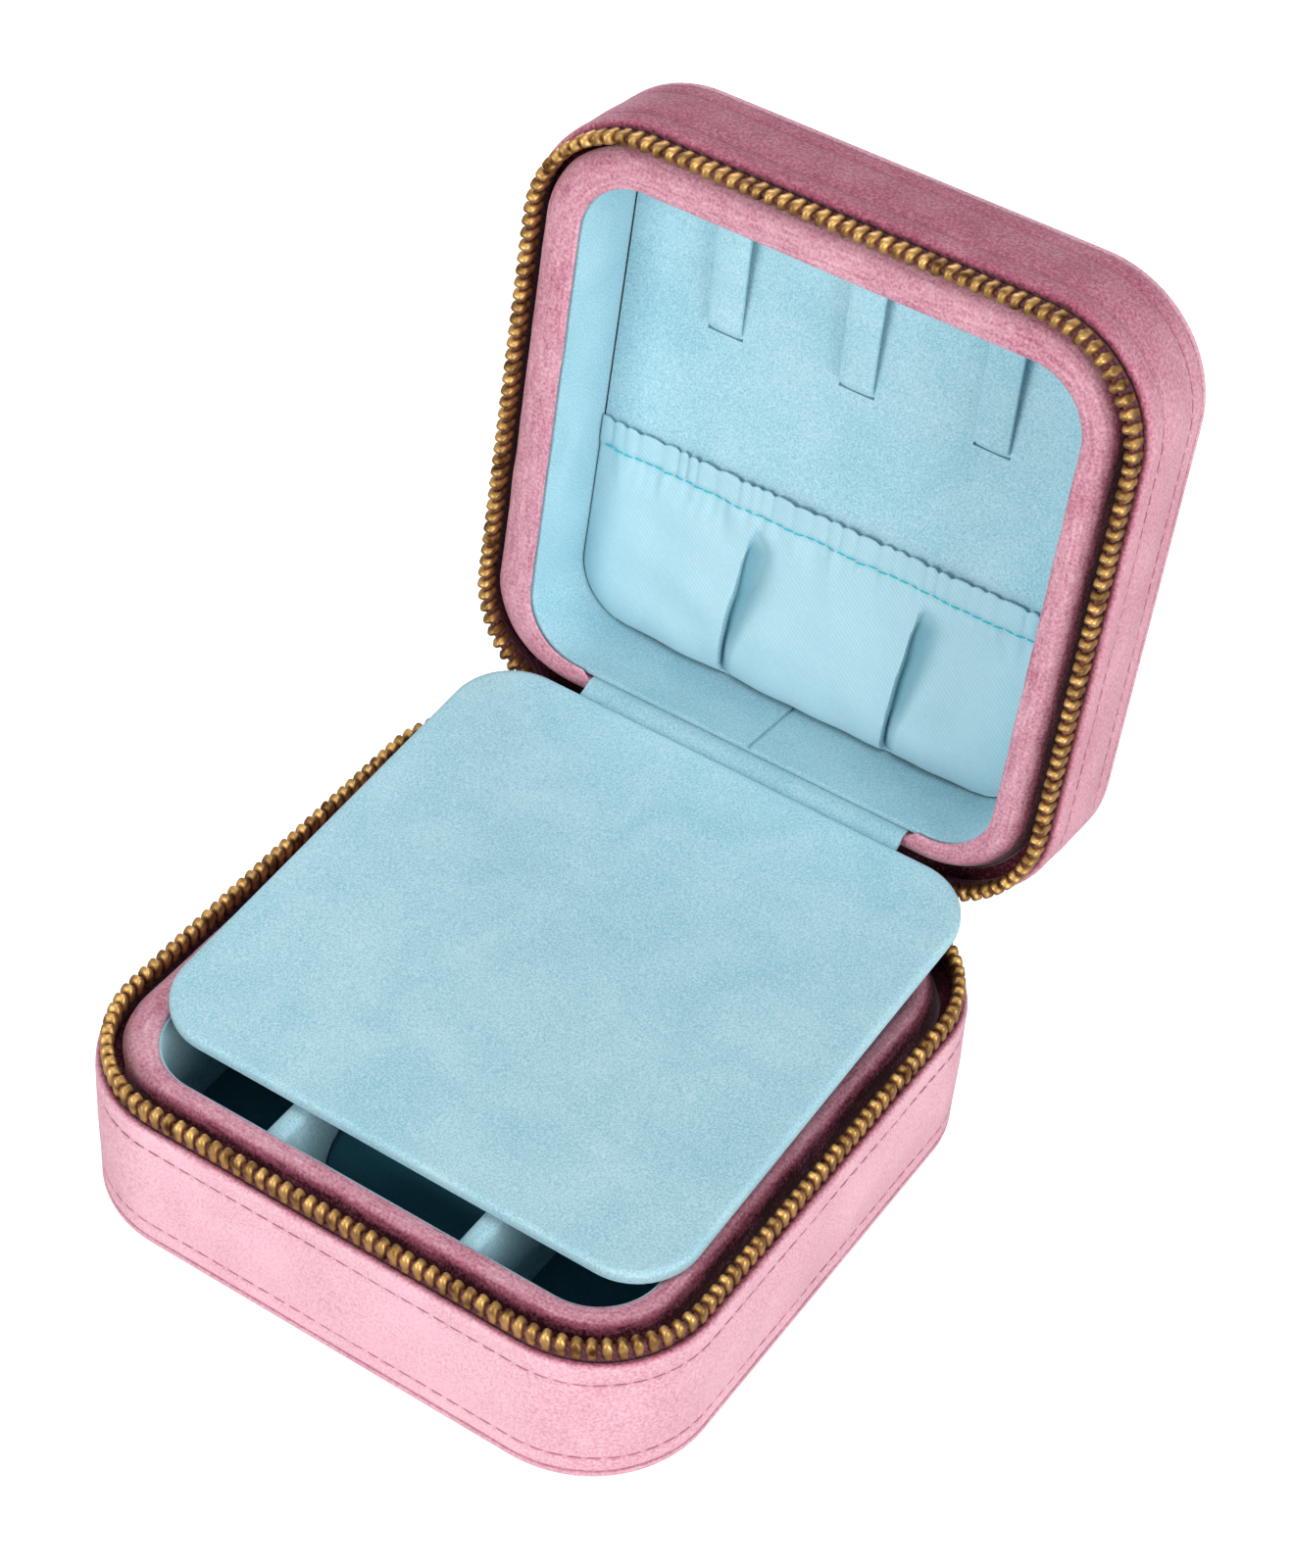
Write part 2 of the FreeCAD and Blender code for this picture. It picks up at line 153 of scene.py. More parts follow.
def outward(plan, point):
    """The corner centre or side foot beside a point, and the direction from there to the point."""
    reach_x = (plan.half_x - plan.radius) * MM
    reach_y = (plan.half_y - plan.radius) * MM
    middle = plan.middle_y * MM
    foot = Vector((max(-reach_x, min(reach_x, point.x)),
                   middle + max(-reach_y, min(reach_y, point.y - middle)), 0))
    return foot, (Vector((point.x, point.y, 0)) - foot).normalized()


def extruded(bm, edges):
    """Extrudes a row of edges where it stands. Gives the new corners and the new row."""
    made = bmesh.ops.extrude_edge_only(bm, edges=edges)["geom"]
    verts = {item for item in made if isinstance(item, bmesh.types.BMVert)}
    row = [item for item in made if isinstance(item, bmesh.types.BMEdge) and set(item.verts) <= verts]
    return verts, row


def extruded_loops(bm, plan, profile, bends=LOOP_BENDS):
    """A band of faces that follows a profile of (inset, height) points. Gives its first and last loop."""
    first = rounded_loop(bm, plan, *profile[0], bends)
    loop = first
    for inset, z in profile[1:]:
        verts, loop = extruded(bm, loop)
        for vert in verts:
            foot, away = outward(plan, vert.co)
            vert.co = foot + away * (plan.radius - inset) * MM + Vector((0, 0, z * MM))
    return first, loop


# %% Walls and panels


def wall(profile):
    """A closed wall round the box, from one closed profile."""
    bm = bmesh.new()
    first, last = extruded_loops(bm, BOX, profile)
    bmesh.ops.bridge_loops(bm, edges=first + last)
    bmesh.ops.recalc_face_normals(bm, faces=bm.faces)
    return bm


def panel(plan, profile, bends=LOOP_BENDS):
    """A closed plate whose edge follows a profile from one face round to the other."""
    bm = bmesh.new()
    first, last = extruded_loops(bm, plan, profile, bends)
    bmesh.ops.contextual_create(bm, geom=first)
    bmesh.ops.contextual_create(bm, geom=last)
    bmesh.ops.recalc_face_normals(bm, faces=bm.faces)
    return bm


# %% [markdown]
# A finished bmesh becomes an object that sits at the origin with its place in its mesh, rides on a body of
# the mechanism and hides the plain solid that it stands for. Cloth also carries one painted value of light
# and shade: it makes a place darker, as painted shade, or paler, as painted light.

# %% From bmesh to a piece that rides
SMOOTH_BELOW = math.radians(42)
STREAK_LONG = 5.0 * MM
STREAK_WIDE = 0.45 * MM


def finished_mesh(name, bm):
    """Turns a bmesh into a mesh, and lets the bmesh go."""
    mesh = bpy.data.meshes.new(name)
    bm.to_mesh(mesh)
    bm.free()
    return mesh


def add_piece(name, bm, finish, body=None, replaces=(), smooth_below=SMOOTH_BELOW):
    """Opens a lid piece, makes the object, shades it, and ties it to its body, finish and solids."""
    if body == "lid":
        open_lid(bm)
    mesh = finished_mesh(name, bm)
    mesh.shade_smooth()
    mesh.set_sharp_from_angle(angle=smooth_below)
    mesh.materials.append(finish)
    piece = bpy.data.objects.new(name, mesh)
    bpy.context.scene.collection.objects.link(piece)
    if body:
        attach(piece, body)
    if replaces:
        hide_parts(*replaces)
    print(name, len(mesh.polygons), "faces")
    return piece


def smooth_step(low, high, value):
    """Zero below low, one above high, and a smooth slope between."""
    t = max(0.0, min(1.0, (value - low) / (high - low)))
    return t * t * (3 - 2 * t)


def on_plan(point):
    """Outward direction at a point of the closed box, and its inset in millimetres."""
    foot, away = outward(BOX, point)
    return away, CORNER - (Vector((point.x, point.y, 0)) - foot).length / MM


def paint_shading(bm, shading_of, streaked=False):
    """Paints light and shade on every vertex, as painted shading, from its outward direction and inset."""
    painted_shading = bm.verts.layers.float.new("painted_shading")
    streak = bm.verts.layers.float_vector.new("streak") if streaked else None
    for vert in bm.verts:
        away, inset = on_plan(vert.co)
        vert[painted_shading] = shading_of(away, inset)
        if streaked:
            along = vert.co / STREAK_LONG
            vert[streak] = Vector((along.x, along.y, inset * MM / STREAK_WIDE))


def ruffled(bm, size, depth):
    """Moves each vertex a little along its normal, as foam under cloth does."""
    bm.normal_update()
    moves = [noise.noise(vert.co / (size * MM)) * depth * MM for vert in bm.verts]
    for vert, move in zip(bm.verts, moves):
        vert.co += vert.normal * move


# %% [markdown]
# Colours are written as the hex values that a painter would pick and turned to linear by one function. One
# small helper adds a node with its settings and its links, so each finish reads as a short recipe.

# %% Colour and node helpers


def linear(text):
    """A hex colour as linear red, green, blue and alpha."""
    parts = [int(text[i:i + 2], 16) / 255 for i in (1, 3, 5)]
    return [p / 12.92 if p <= 0.04045 else ((p + 0.055) / 1.055) ** 2.4 for p in parts] + [1.0]


def node(tree, kind, inputs=None, **settings):
    """Adds one node: its settings, then its inputs as plain values or links."""
    made = tree.nodes.new(kind)
    for name, value in settings.items():
        setattr(made, name, value)
    for name, value in (inputs or {}).items():
        if isinstance(value, bpy.types.NodeSocket):
            tree.links.new(value, made.inputs[name])
        else:
            made.inputs[name].default_value = value
    return made


def per_mm(size):
    """A pattern scale from the real size of its grain in millimetres."""
    return 1.0 / (size * MM)


def new_finish(name, **sockets):
    """An empty material with its shader, and the constants that go on the shader's own sockets."""
    finish = bpy.data.materials.new(name)
    finish.use_nodes = True
    shader = finish.node_tree.nodes["Principled BSDF"]
    for socket, value in sockets.items():
        shader.inputs[socket.replace("_", " ")].default_value = value
    return finish, finish.node_tree, shader


# %% [markdown]
# Short-pile velvet is a woven ground with upright fibres cut level. It has no gloss: the fibre tips catch
# light at a slant, which is sheen, and clumps of pile lean together and make soft cloudy patches. The fibres
# are far finer than a pixel, so the pile is drawn at about half a millimetre to show.

# %% Pink velvet
# The velvet runs from a painted shadow colour for the deepest gaps, through a painted shade colour, to the
# pale pink of lit velvet.
VELVET_SHADOW = linear("#34060F")
VELVET_SHADE = linear("#A65A70")
VELVET_PALE = linear("#E9BAC7")
SHADE_STOP = 0.4
CLOUD_SIZE = 11
PILE_SIZE = 0.5


def pink_velvet():
    """Velvet whose colour follows the painted light and shade on the piece, with cloudy patches and pile."""
    finish, tree, shader = new_finish("pink_velvet", Roughness=0.95, Sheen_Weight=0.35, Sheen_Roughness=0.45,
                                      Sheen_Tint=linear("#F6DDE4"), Specular_IOR_Level=0.1)
    where = node(tree, "ShaderNodeTexCoord").outputs["Object"]
    painted_shading = node(tree, "ShaderNodeAttribute", attribute_name="painted_shading").outputs["Fac"]
    lie = node(tree, "ShaderNodeAttribute", attribute_name="streak").outputs["Vector"]
    cloud = node(tree, "ShaderNodeTexNoise", {"Vector": where, "Scale": per_mm(CLOUD_SIZE), "Detail": 4.0})
    pile = node(tree, "ShaderNodeTexNoise", {"Vector": where, "Scale": per_mm(PILE_SIZE), "Detail": 3.0})
    comb = node(tree, "ShaderNodeTexNoise", {"Vector": lie, "Scale": 1.0, "Detail": 2.0})
    shading_and_grain = painted_shading
    for pattern, narrow, reach in ((cloud, 0.35, 0.05), (comb, 0.3, 0.1), (pile, 0.3, 0.16)):
        spread = {"Value": pattern.outputs["Fac"], 1: narrow, 2: 1 - narrow, 3: -reach, 4: reach}
        moved = node(tree, "ShaderNodeMapRange", spread).outputs[0]
        last = pattern == pile
        shading_and_grain = node(tree, "ShaderNodeMath", {0: shading_and_grain, 1: moved}, operation="ADD", use_clamp=last).outputs[0]
    colour = node(tree, "ShaderNodeValToRGB", {"Fac": shading_and_grain})
    deepest, palest = colour.color_ramp.elements
    deepest.color, palest.color = VELVET_SHADOW, VELVET_PALE
    colour.color_ramp.elements.new(SHADE_STOP).color = VELVET_SHADE
    tree.links.new(colour.outputs["Color"], shader.inputs["Base Color"])
    relief = {"Height": pile.outputs["Fac"], "Strength": 0.35, "Distance": 0.3 * MM}
    tree.links.new(node(tree, "ShaderNodeBump", relief).outputs["Normal"], shader.inputs["Normal"])
    return finish


velvet = pink_velvet()
print("finish", velvet.name)

# %% [markdown]
# Microsuede is a felt of very fine fibres, sanded so that they stand in all directions. It looks matt and
# finely speckled, with larger soft marks where a hand has brushed it. Its specks are drawn coarser than life
# so that they show.

# %% Blue microsuede
SUEDE_SHADE = linear("#8CBECC")
SUEDE_PALE = linear("#BCDCE6")
SUEDE_PAINTED_SHADE = linear("#0E6276")
MARK_SIZE = 16
SPECK_SIZE = 0.34


def blue_microsuede():
    """Matt sanded fibre cloth with fine specks and faint brush marks, darker where painted shade is given."""
    finish, tree, shader = new_finish("blue_microsuede", Roughness=0.92, Sheen_Weight=0.2,
                                      Sheen_Roughness=0.5, Sheen_Tint=linear("#E4F6FA"),
                                      Specular_IOR_Level=0.15)
    where = node(tree, "ShaderNodeTexCoord").outputs["Object"]
    painted_shading = node(tree, "ShaderNodeAttribute", attribute_name="painted_shading").outputs["Fac"]
    brush = {"Vector": where, "Scale": per_mm(MARK_SIZE), "Detail": 5.0, "Distortion": 0.6}
    marks = node(tree, "ShaderNodeTexNoise", brush).outputs["Fac"]
    grain = node(tree, "ShaderNodeTexNoise", {"Vector": where, "Scale": per_mm(SPECK_SIZE), "Detail": 2.0})
    fibre = grain.outputs["Fac"]
    brushed = node(tree, "ShaderNodeMapRange", {"Value": marks, 1: 0.3, 2: 0.7, 3: 0.3, 4: 0.7}).outputs[0]
    specks = node(tree, "ShaderNodeMapRange", {"Value": fibre, 1: 0.3, 2: 0.7, 3: -0.5, 4: 0.5}).outputs[0]
    both = node(tree, "ShaderNodeMath", {0: brushed, 1: specks}, operation="ADD", use_clamp=True).outputs[0]
    lit = node(tree, "ShaderNodeMix", {0: both, 6: SUEDE_SHADE, 7: SUEDE_PALE}, data_type="RGBA").outputs[2]
    colour = node(tree, "ShaderNodeMix", {0: painted_shading, 6: lit, 7: SUEDE_PAINTED_SHADE}, data_type="RGBA").outputs[2]
    tree.links.new(colour, shader.inputs["Base Color"])
    relief = {"Height": fibre, "Strength": 0.35, "Distance": 0.25 * MM}
    tree.links.new(node(tree, "ShaderNodeBump", relief).outputs["Normal"], shader.inputs["Normal"])
    return finish


suede = blue_microsuede()
print("finish", suede.name)

# %% [markdown]
# The pocket is a thinner satin-weave cotton. Its threads run as fine diagonal ribs, so one diagonal wave,
# broken by a noise of thread slubs, gives the weave. It is drawn a little coarser than life so that it shows,
# and the cloth has a soft gloss. The zip's twill tape and the sewing threads are the same weave.

# %% Pocket satin, zip tape and thread
RIBS_PER_THREAD = 0.36
SLUB_LONG = 1.4
WEAVE_FLOOR = 0.15


def woven_cloth(name, colours, thread, roughness):
    """Cloth with diagonal ribs across slubbed threads, darker where painted shade is given in its folds."""
    # The third colour, deep, is the painted shade for folds.
    shade, pale, deep = [linear(text) for text in colours]
    finish, tree, shader = new_finish(name, Roughness=roughness, Sheen_Weight=0.15, Sheen_Roughness=0.4,
                                      Specular_IOR_Level=0.3)
    where = node(tree, "ShaderNodeTexCoord").outputs["Object"]
    painted_shading = node(tree, "ShaderNodeAttribute", attribute_name="painted_shading").outputs["Fac"]
    rib = {"Vector": where, "Scale": per_mm(thread) * RIBS_PER_THREAD, "Distortion": 0.4}
    ribs = node(tree, "ShaderNodeTexWave", rib, bands_direction="DIAGONAL").outputs["Fac"]
    uneven = {"Vector": where, "Scale": per_mm(thread * SLUB_LONG), "Detail": 3.0}
    slub = node(tree, "ShaderNodeTexNoise", uneven).outputs["Fac"]
    crossed = {0: ribs, 1: slub, 2: WEAVE_FLOOR}
    weave = node(tree, "ShaderNodeMath", crossed, operation="MULTIPLY_ADD").outputs[0]
    lit = node(tree, "ShaderNodeMix", {0: weave, 6: shade, 7: pale}, data_type="RGBA").outputs[2]
    colour = node(tree, "ShaderNodeMix", {0: painted_shading, 6: lit, 7: deep}, data_type="RGBA").outputs[2]
    tree.links.new(colour, shader.inputs["Base Color"])
    relief = {"Height": weave, "Strength": 0.3, "Distance": 0.15 * MM}
    tree.links.new(node(tree, "ShaderNodeBump", relief).outputs["Normal"], shader.inputs["Normal"])
    return finish


pocket_satin = woven_cloth("pocket_satin", ("#A0C8D4", "#BCDCE6", "#3F8799"), 0.6, 0.75)
# The zip tape's own mauve is darkened, as painted shade between and under the teeth.
tape_twill = woven_cloth("zip_tape_twill", ("#4A2230", "#84505F", "#2A0A13"), 0.6, 0.8)
pink_thread = woven_cloth("pink_sewing_thread", ("#A8647A", "#C07F93", "#84465A"), 0.4, 0.7)
turquoise_thread = woven_cloth("turquoise_sewing_thread", ("#18B0C2", "#46D0DC", "#0C7E8E"), 0.4, 0.5)
print("finishes", pocket_satin.name, tape_twill.name, pink_thread.name, turquoise_thread.name)

# %% [markdown]
# The zip is antique brass: yellow metal that was darkened in a bath and then rubbed bright. Wear could follow
# the edges, but only one renderer can find those, so a noise about as large as a tooth mixes the dark and the
# bright tone. The boards are plain pressed paper, flecked with fibre.

# %% Antique brass and pressed board
PATINA_SIZE = 2.4
FLECK_SIZE = 0.8
BRASS_DARK, BRASS_BRIGHT = linear("#4A2C12"), linear("#B8925A")
BOARD_DARK, BOARD_PALE = linear("#6E6455"), linear("#9C907C")


def antique_brass():
    """Brass with brown patina left between rubbed golden spots."""
    finish, tree, shader = new_finish("antique_brass", Metallic=1.0)
    where = node(tree, "ShaderNodeTexCoord").outputs["Object"]
    bath = {"Vector": where, "Scale": per_mm(PATINA_SIZE), "Detail": 1.0}
    patina = node(tree, "ShaderNodeTexNoise", bath).outputs["Fac"]
    worn = node(tree, "ShaderNodeMapRange", {"Value": patina, 1: 0.25, 2: 0.65}).outputs[0]
    tones = {0: worn, 6: BRASS_DARK, 7: BRASS_BRIGHT}
    colour = node(tree, "ShaderNodeMix", tones, data_type="RGBA").outputs[2]
    tree.links.new(colour, shader.inputs["Base Color"])
    rough = node(tree, "ShaderNodeMapRange", {"Value": patina, 3: 0.55, 4: 0.36}).outputs[0]
    tree.links.new(rough, shader.inputs["Roughness"])
    return finish


def pressed_board():
    """Grey-brown pressed paper board with flecks of fibre."""
    finish, tree, shader = new_finish("pressed_board", Roughness=0.9)
    where = node(tree, "ShaderNodeTexCoord").outputs["Object"]
    fibre = {"Vector": where, "Scale": per_mm(FLECK_SIZE), "Detail": 4.0}
    fleck = node(tree, "ShaderNodeTexNoise", fibre).outputs["Fac"]
    tones = {0: fleck, 6: BOARD_DARK, 7: BOARD_PALE}
    colour = node(tree, "ShaderNodeMix", tones, data_type="RGBA").outputs[2]
    tree.links.new(colour, shader.inputs["Base Color"])
    return finish


brass = antique_brass()
board = pressed_board()
for name in ("base_bottom_board", "base_wall_board", "lid_top_board", "lid_wall_board", "flap_board"):
    frame["nodes"][name].data.materials[0] = board
for name in ("base_zip_stops", "lid_zip_stops"):
    frame["nodes"][name].data.materials[0] = brass
print("finishes", brass.name, board.name)

# %% [markdown]
# The base's velvet wall is one strip, sewn to the bottom panel below and turned in at the zip above. Two rows
# of stitches hold it to the board, and each row draws the velvet in, so the profile has a shallow groove
# there and a slight swell between. The bottom panel has its own rolled edge, which leaves a seam line.

# %% Profiles of the velvet walls and panels
ROW_FROM_SEAM = 3.4
ROW_FROM_ZIP = 3.5
GROOVE = 0.3
GROOVE_HALF = 0.8
SWELL = 0.12
# The lid's heights are given as drawn for the base, before in_half turns them over.
SEAM = {"base": COVER_BOTTOM, "lid": mirrored(TOTAL - COVER)}
FLAT_SIDE = {"base": ("bottom", 0.0), "lid": ("top", mirrored(TOTAL))}


def stitch_heights(half):
    """Heights of a velvet wall's two rows of stitches, as drawn for the base."""
    return SEAM[half] + ROW_FROM_SEAM, COVER_TOP - ROW_FROM_ZIP


def grooved(z):
    """Three profile points that draw the velvet in along a row of stitches."""
    return [(0.0, z - GROOVE_HALF), (GROOVE, z), (0.0, z + GROOVE_HALF)]


def cover_profile(half):
    """Outside of a velvet wall from its seam to its turned-in zip edge, and back down inside."""
    low, high = SEAM[half], COVER_TOP
    first, last = stitch_heights(half)
    return ([(COVER, low), (0.8, low), (0.2, low + 0.3), (0.0, low + 0.9)] + grooved(first)
            + [(-SWELL, (first + last) / 2)] + grooved(last)
            + [(0.0, high - 1.2), (0.1, high - 0.6), (0.4, high - 0.15), (0.85, high),
               (1.3, high - 0.15), (COVER, high - 0.6)])


def edge_roll(outer_z, seam_z):
    """Edge of a bottom or top panel: from inside, out to the seam, round the roll, to its flat face."""
    step = outer_z - seam_z
    return [(COVER, seam_z), (0.8, seam_z), (0.15, seam_z + 0.2 * step), (0.02, seam_z + 0.45 * step),
            (0.18, seam_z + 0.7 * step), (0.6, seam_z + 0.9 * step), (1.3, outer_z), (4.0, outer_z)]


print("stitch rows", {half: stitch_heights(half) for half in HALVES})

# %% [markdown]
# Each strip is painted paler or darker by the way it faces, as painted light and shade for how its pile
# catches the light: the base is painted pale all round and the lid dark at the front. Where the cloth turns
# in, at a seam, a stitch row or the zip, painted shade makes it deeper. The walls' upper edges reach nearly
# to the teeth, except on the back, where the slider needs its room.

# %% Velvet walls and panels, base and lid
BASE_SHADING, BASE_RIGHT_SHADE, BASE_CORNER_SHADE, BASE_TURN_SHADE = 0.93, 0.03, 0.12, 0.45
LID_SHADING, LID_FRONT_SHADE, LID_RIGHT_SHADE, LID_TURN_SHADE = 0.8, 0.34, 0.08, 0.25
TOP_SHADING, TOP_TURN_SHADE = 0.8, 0.3
EDGE_DEPTH = 0.7
EDGE_RISE = 0.9
SLIDER_SIDE = (0.1, 0.6)
WALL_RUFFLE = (9.0, 0.1)
TURN_INSET = (0.1, 0.8)
ROLL_FLATTENS = (1.0, 1.6)


def turned_in_shade(inset):
    """Mask of painted shade where the cloth turns in from the outside, at a seam, a stitch row or the zip."""
    return smooth_step(*TURN_INSET, inset)


def pale_all_round(away, inset):
    """The base's velvet is painted pale, with painted shade a little on the right, at corners and turned-in
    edges.
    """
    corner = abs(2 * away.x * away.y)
    return BASE_SHADING - BASE_RIGHT_SHADE * max(0.0, away.x) - BASE_CORNER_SHADE * corner - BASE_TURN_SHADE * turned_in_shade(inset)


def dark_at_front(away, inset):
    """The lid's velvet gets painted shade: dark on the front wall and a little on the right, paler round the
    sides.
    """
    front = max(0.0, -away.y) ** 2
    right = max(0.0, away.x) ** 2
    return LID_SHADING - LID_FRONT_SHADE * front - LID_RIGHT_SHADE * right - LID_TURN_SHADE * turned_in_shade(inset)


def even_pink(away, inset):
    """The top and bottom panels are painted evenly, with painted shade at their rolled edge."""
    return TOP_SHADING - TOP_TURN_SHADE * turned_in_shade(inset) * (1 - smooth_step(*ROLL_FLATTENS, inset))


def ease_to_zip(bm):
    """Draws a wall's turned-in edge nearer the teeth, but not on the back, where the slider runs."""
    for vert in bm.verts:
        off = vert.co.z / MM - CLOSING
        away = outward(BOX, vert.co)[1]
        if abs(off) < CLOSING - COVER_TOP + EDGE_DEPTH:
            rise = EDGE_RISE * (1 - smooth_step(*SLIDER_SIDE, away.y))
            vert.co.z -= math.copysign(rise, off) * MM


for half, painted_shading in (("base", pale_all_round), ("lid", dark_at_front)):
    bm = wall(in_half(half, cover_profile(half)))
    paint_shading(bm, painted_shading)
    ease_to_zip(bm)
    ruffled(bm, *WALL_RUFFLE)
    add_piece(f"velvet_{half}_wall", bm, velvet, half, [f"{half}_wall_cover"])
    side, outer_z = FLAT_SIDE[half]
    bm = panel(BOX, in_half(half, edge_roll(outer_z, SEAM[half])))
    paint_shading(bm, even_pink)
    add_piece(f"velvet_{half}_{side}", bm, velvet, half, [f"{half}_{side}_cover"])

# %% [markdown]
# Inside the zip a foam-padded velvet collar stands up on both halves. Its foam is cut on a slant: it falls
# away to a dark gap beside the zip and rises to a soft crown that laps over the suede lining. On the left,
# and a little along the lid's front and right, the foam bulges out and crowds the zip, so the gap is narrow
# there. A velvet facing wraps the board's edge in the gap. Painted shadow darkens the gap, and the crown and
# the crowded places are painted pale.

# %% Padded collars
COLLAR_CROWN = 8.3
COLLAR_DARK = 6.0
COLLAR_PALE = 7.5
COLLAR_SHADING = 0.66
COLLAR_PUSH = 2.6
BASE_CROWD = (1.0, 0.0, 0.0)
LID_CROWD = (1.0, 0.6, 0.2)
NO_CROWD = (0.0, 0.0, 0.0)
CROWD_DEPTH = (1.6, 5.0)
CROWD_INSET = (7.0, 9.4)
BASE_LAP, LID_LAP = 10.25, 11.0
HINGE_GAP_HALF = 33.0
HINGE_GAP_CLEAR = 0.05
FOAM_RUFFLE = (6.0, 0.12)


def pushed_out(away, crowd):
    """How far the foam crowds the zip here, in millimetres, from its share on the left, front and right."""
    left, front, right = crowd
    sides = left * max(0.0, -away.x) ** 2 + right * max(0.0, away.x) ** 2
    return COLLAR_PUSH * (sides + front * max(0.0, -away.y) ** 2)


def collar_shade(crowd):
    """Painted shade of a collar: painted shadow in the gap beside the zip, pale on the crown and where the
    foam crowds.
    """
    def painted_shading(away, inset):
        return COLLAR_SHADING * smooth_step(COLLAR_DARK, COLLAR_PALE, inset + pushed_out(away, crowd))
    return painted_shading


def crowd_zip(bm, crowd):
    """Pushes a collar's outer side towards the zip, on its way up from the board to its crown."""
    for vert in bm.verts:
        away, inset = on_plan(vert.co)
        depth = abs(vert.co.z / MM - CLOSING) - (CLOSING - COLLAR_TOP)
        free = (1 - smooth_step(*CROWD_DEPTH, depth)) * (1 - smooth_step(*CROWD_INSET, inset))
        vert.co += away * pushed_out(away, crowd) * free * MM


def collar_profile(low, high, lap):
    """Closed profile of a collar: up its slanted outside, over the crown, and under its lap."""
    slant = [(COLLAR_OUT, -7.0), (4.7, -5.2), (5.2, -3.7), (5.9, -2.3), (6.7, -1.1), (7.5, -0.35)]
    over = [(COLLAR_CROWN, 0.0), (9.2, -0.03), (lap - 0.45, -0.12), (lap - 0.1, -0.28), (lap, -0.42)]
    under = [(lap - 0.2, -0.55), (COLLAR_IN, -0.58)]
    turned = [(inset, high + z) for inset, z in slant + over + under]
    return [(COLLAR_OUT, low)] + turned + [(COLLAR_IN, low)]


def hold_back_lap(bm):
    """Keeps the lid's collar clear of the strip that hangs the flap."""
    for vert in bm.verts:
        if vert.co.y > 0 and abs(vert.co.x) < HINGE_GAP_HALF * MM:
            vert.co.y = max(vert.co.y, (HALF - COLLAR_IN + HINGE_GAP_CLEAR) * MM)


COLLARS = {"base": (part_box("base_collar")[0].z / MM, BASE_LAP, BASE_CROWD),
           "lid": (mirrored(TOTAL - LID_TOP_THICK), LID_LAP, LID_CROWD)}
for half, (low, lap, crowd) in COLLARS.items():
    bm = wall(in_half(half, collar_profile(low, COLLAR_TOP, lap)))
    paint_shading(bm, collar_shade(crowd), streaked=True)
    crowd_zip(bm, crowd)
    ruffled(bm, *FOAM_RUFFLE)
    if half == "lid":
        hold_back_lap(bm)
    collar = add_piece(f"velvet_{half}_collar", bm, velvet, half, [f"{half}_collar"])

# %% Velvet facing beside the zip
FACING = (2.4, 4.42)
FACING_THICK = 0.25
FACING_DROP = 6.5
FACING_CLEAR = 0.02


def facing_profile(high):
    """Closed profile of the velvet strip that wraps a board's edge and runs down behind the collar."""
    outer, inner = FACING
    front = inner + FACING_THICK / 2
    low, top, on_board = high - FACING_DROP, high + FACING_THICK, high + FACING_CLEAR
    return [(outer, on_board), (outer, top), (front, top), (front, low), (inner, low), (inner, on_board)]


board_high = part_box("base_wall_board")[1].z / MM
for half in HALVES:
    bm = wall(in_half(half, facing_profile(board_high)))
    # The facing gets the collar's painted shadow for the gap.
    paint_shading(bm, collar_shade(NO_CROWD))
    add_piece(f"velvet_{half}_facing", bm, velvet, half)

# %% [markdown]
# Suede over thin card lines both halves. The card stands a hair below the collar, so its cut edge shows as a
# fine pale line. The lid's lining closes with a butt joint in the middle of the hinge side: cuts beside the
# joint let a narrow groove be pushed in. The floor gets a dark painted shade, and the lining's hinge side a
# lighter one.

# %% Suede linings and floor
JOINT_HALF = 0.22
JOINT_DEPTH = 0.45
JOINT_SPREAD = 1.2
JOINT_REACH = 0.2
EDGE_ROUND = 0.35
INSIDE_SHADE = 0.9
LINING_SHADE = 0.25
LID_LINING_DROP = 2.7
FLOOR_FIT = 0.05
FLOOR_ROUND = (0.25, 0.2)


def lining_profile(outer, inner, low, high):
    """Closed profile of a lining with a softly broken upper edge."""
    return [(outer, low), (outer, high - EDGE_ROUND), (outer + 0.1, high - 0.1), (outer + EDGE_ROUND, high),
            (inner - EDGE_ROUND, high), (inner - 0.1, high - 0.1), (inner, high - EDGE_ROUND), (inner, low)]


def cut_back_at(bm, x):
    """Cuts the back half of a piece along an upright plane."""
    geom = [face for face in bm.faces if face.calc_center_median().y > 0]
    geom += list({edge for face in geom for edge in face.edges})
    geom += list({vert for item in geom for vert in item.verts})
    bmesh.ops.bisect_plane(bm, geom=geom, plane_co=(x * MM, 0, 0), plane_no=(1, 0, 0))


def butt_joint(bm):
    """Presses a narrow groove into the inner face, in the middle of the hinge side."""
    for share in (-2, -1, 1, 2):
        cut_back_at(bm, share * JOINT_HALF)
    inner_y = (HALF - LID_LINING_IN + JOINT_REACH) * MM
    for vert in bm.verts:
        if abs(vert.co.x) < JOINT_SPREAD * JOINT_HALF * MM and 0 < vert.co.y < inner_y:
            vert.co.y += JOINT_DEPTH * MM


def even_shade(level):
    """The same painted shade all over a piece."""
    def painted_shading(away, inset):
        return level
    return painted_shading


def lining_shade(away, inset):
    """Painted shade on the hinge side of the lid's lining."""
    return LINING_SHADE * max(0.0, away.y) ** 2


lining_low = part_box("base_wall_lining")[0].z / MM
bm = wall(lining_profile(LINING_OUT, LINING_IN, lining_low, LINING_TOP))
add_piece("suede_base_lining", bm, suede, "base", ["base_wall_lining"])

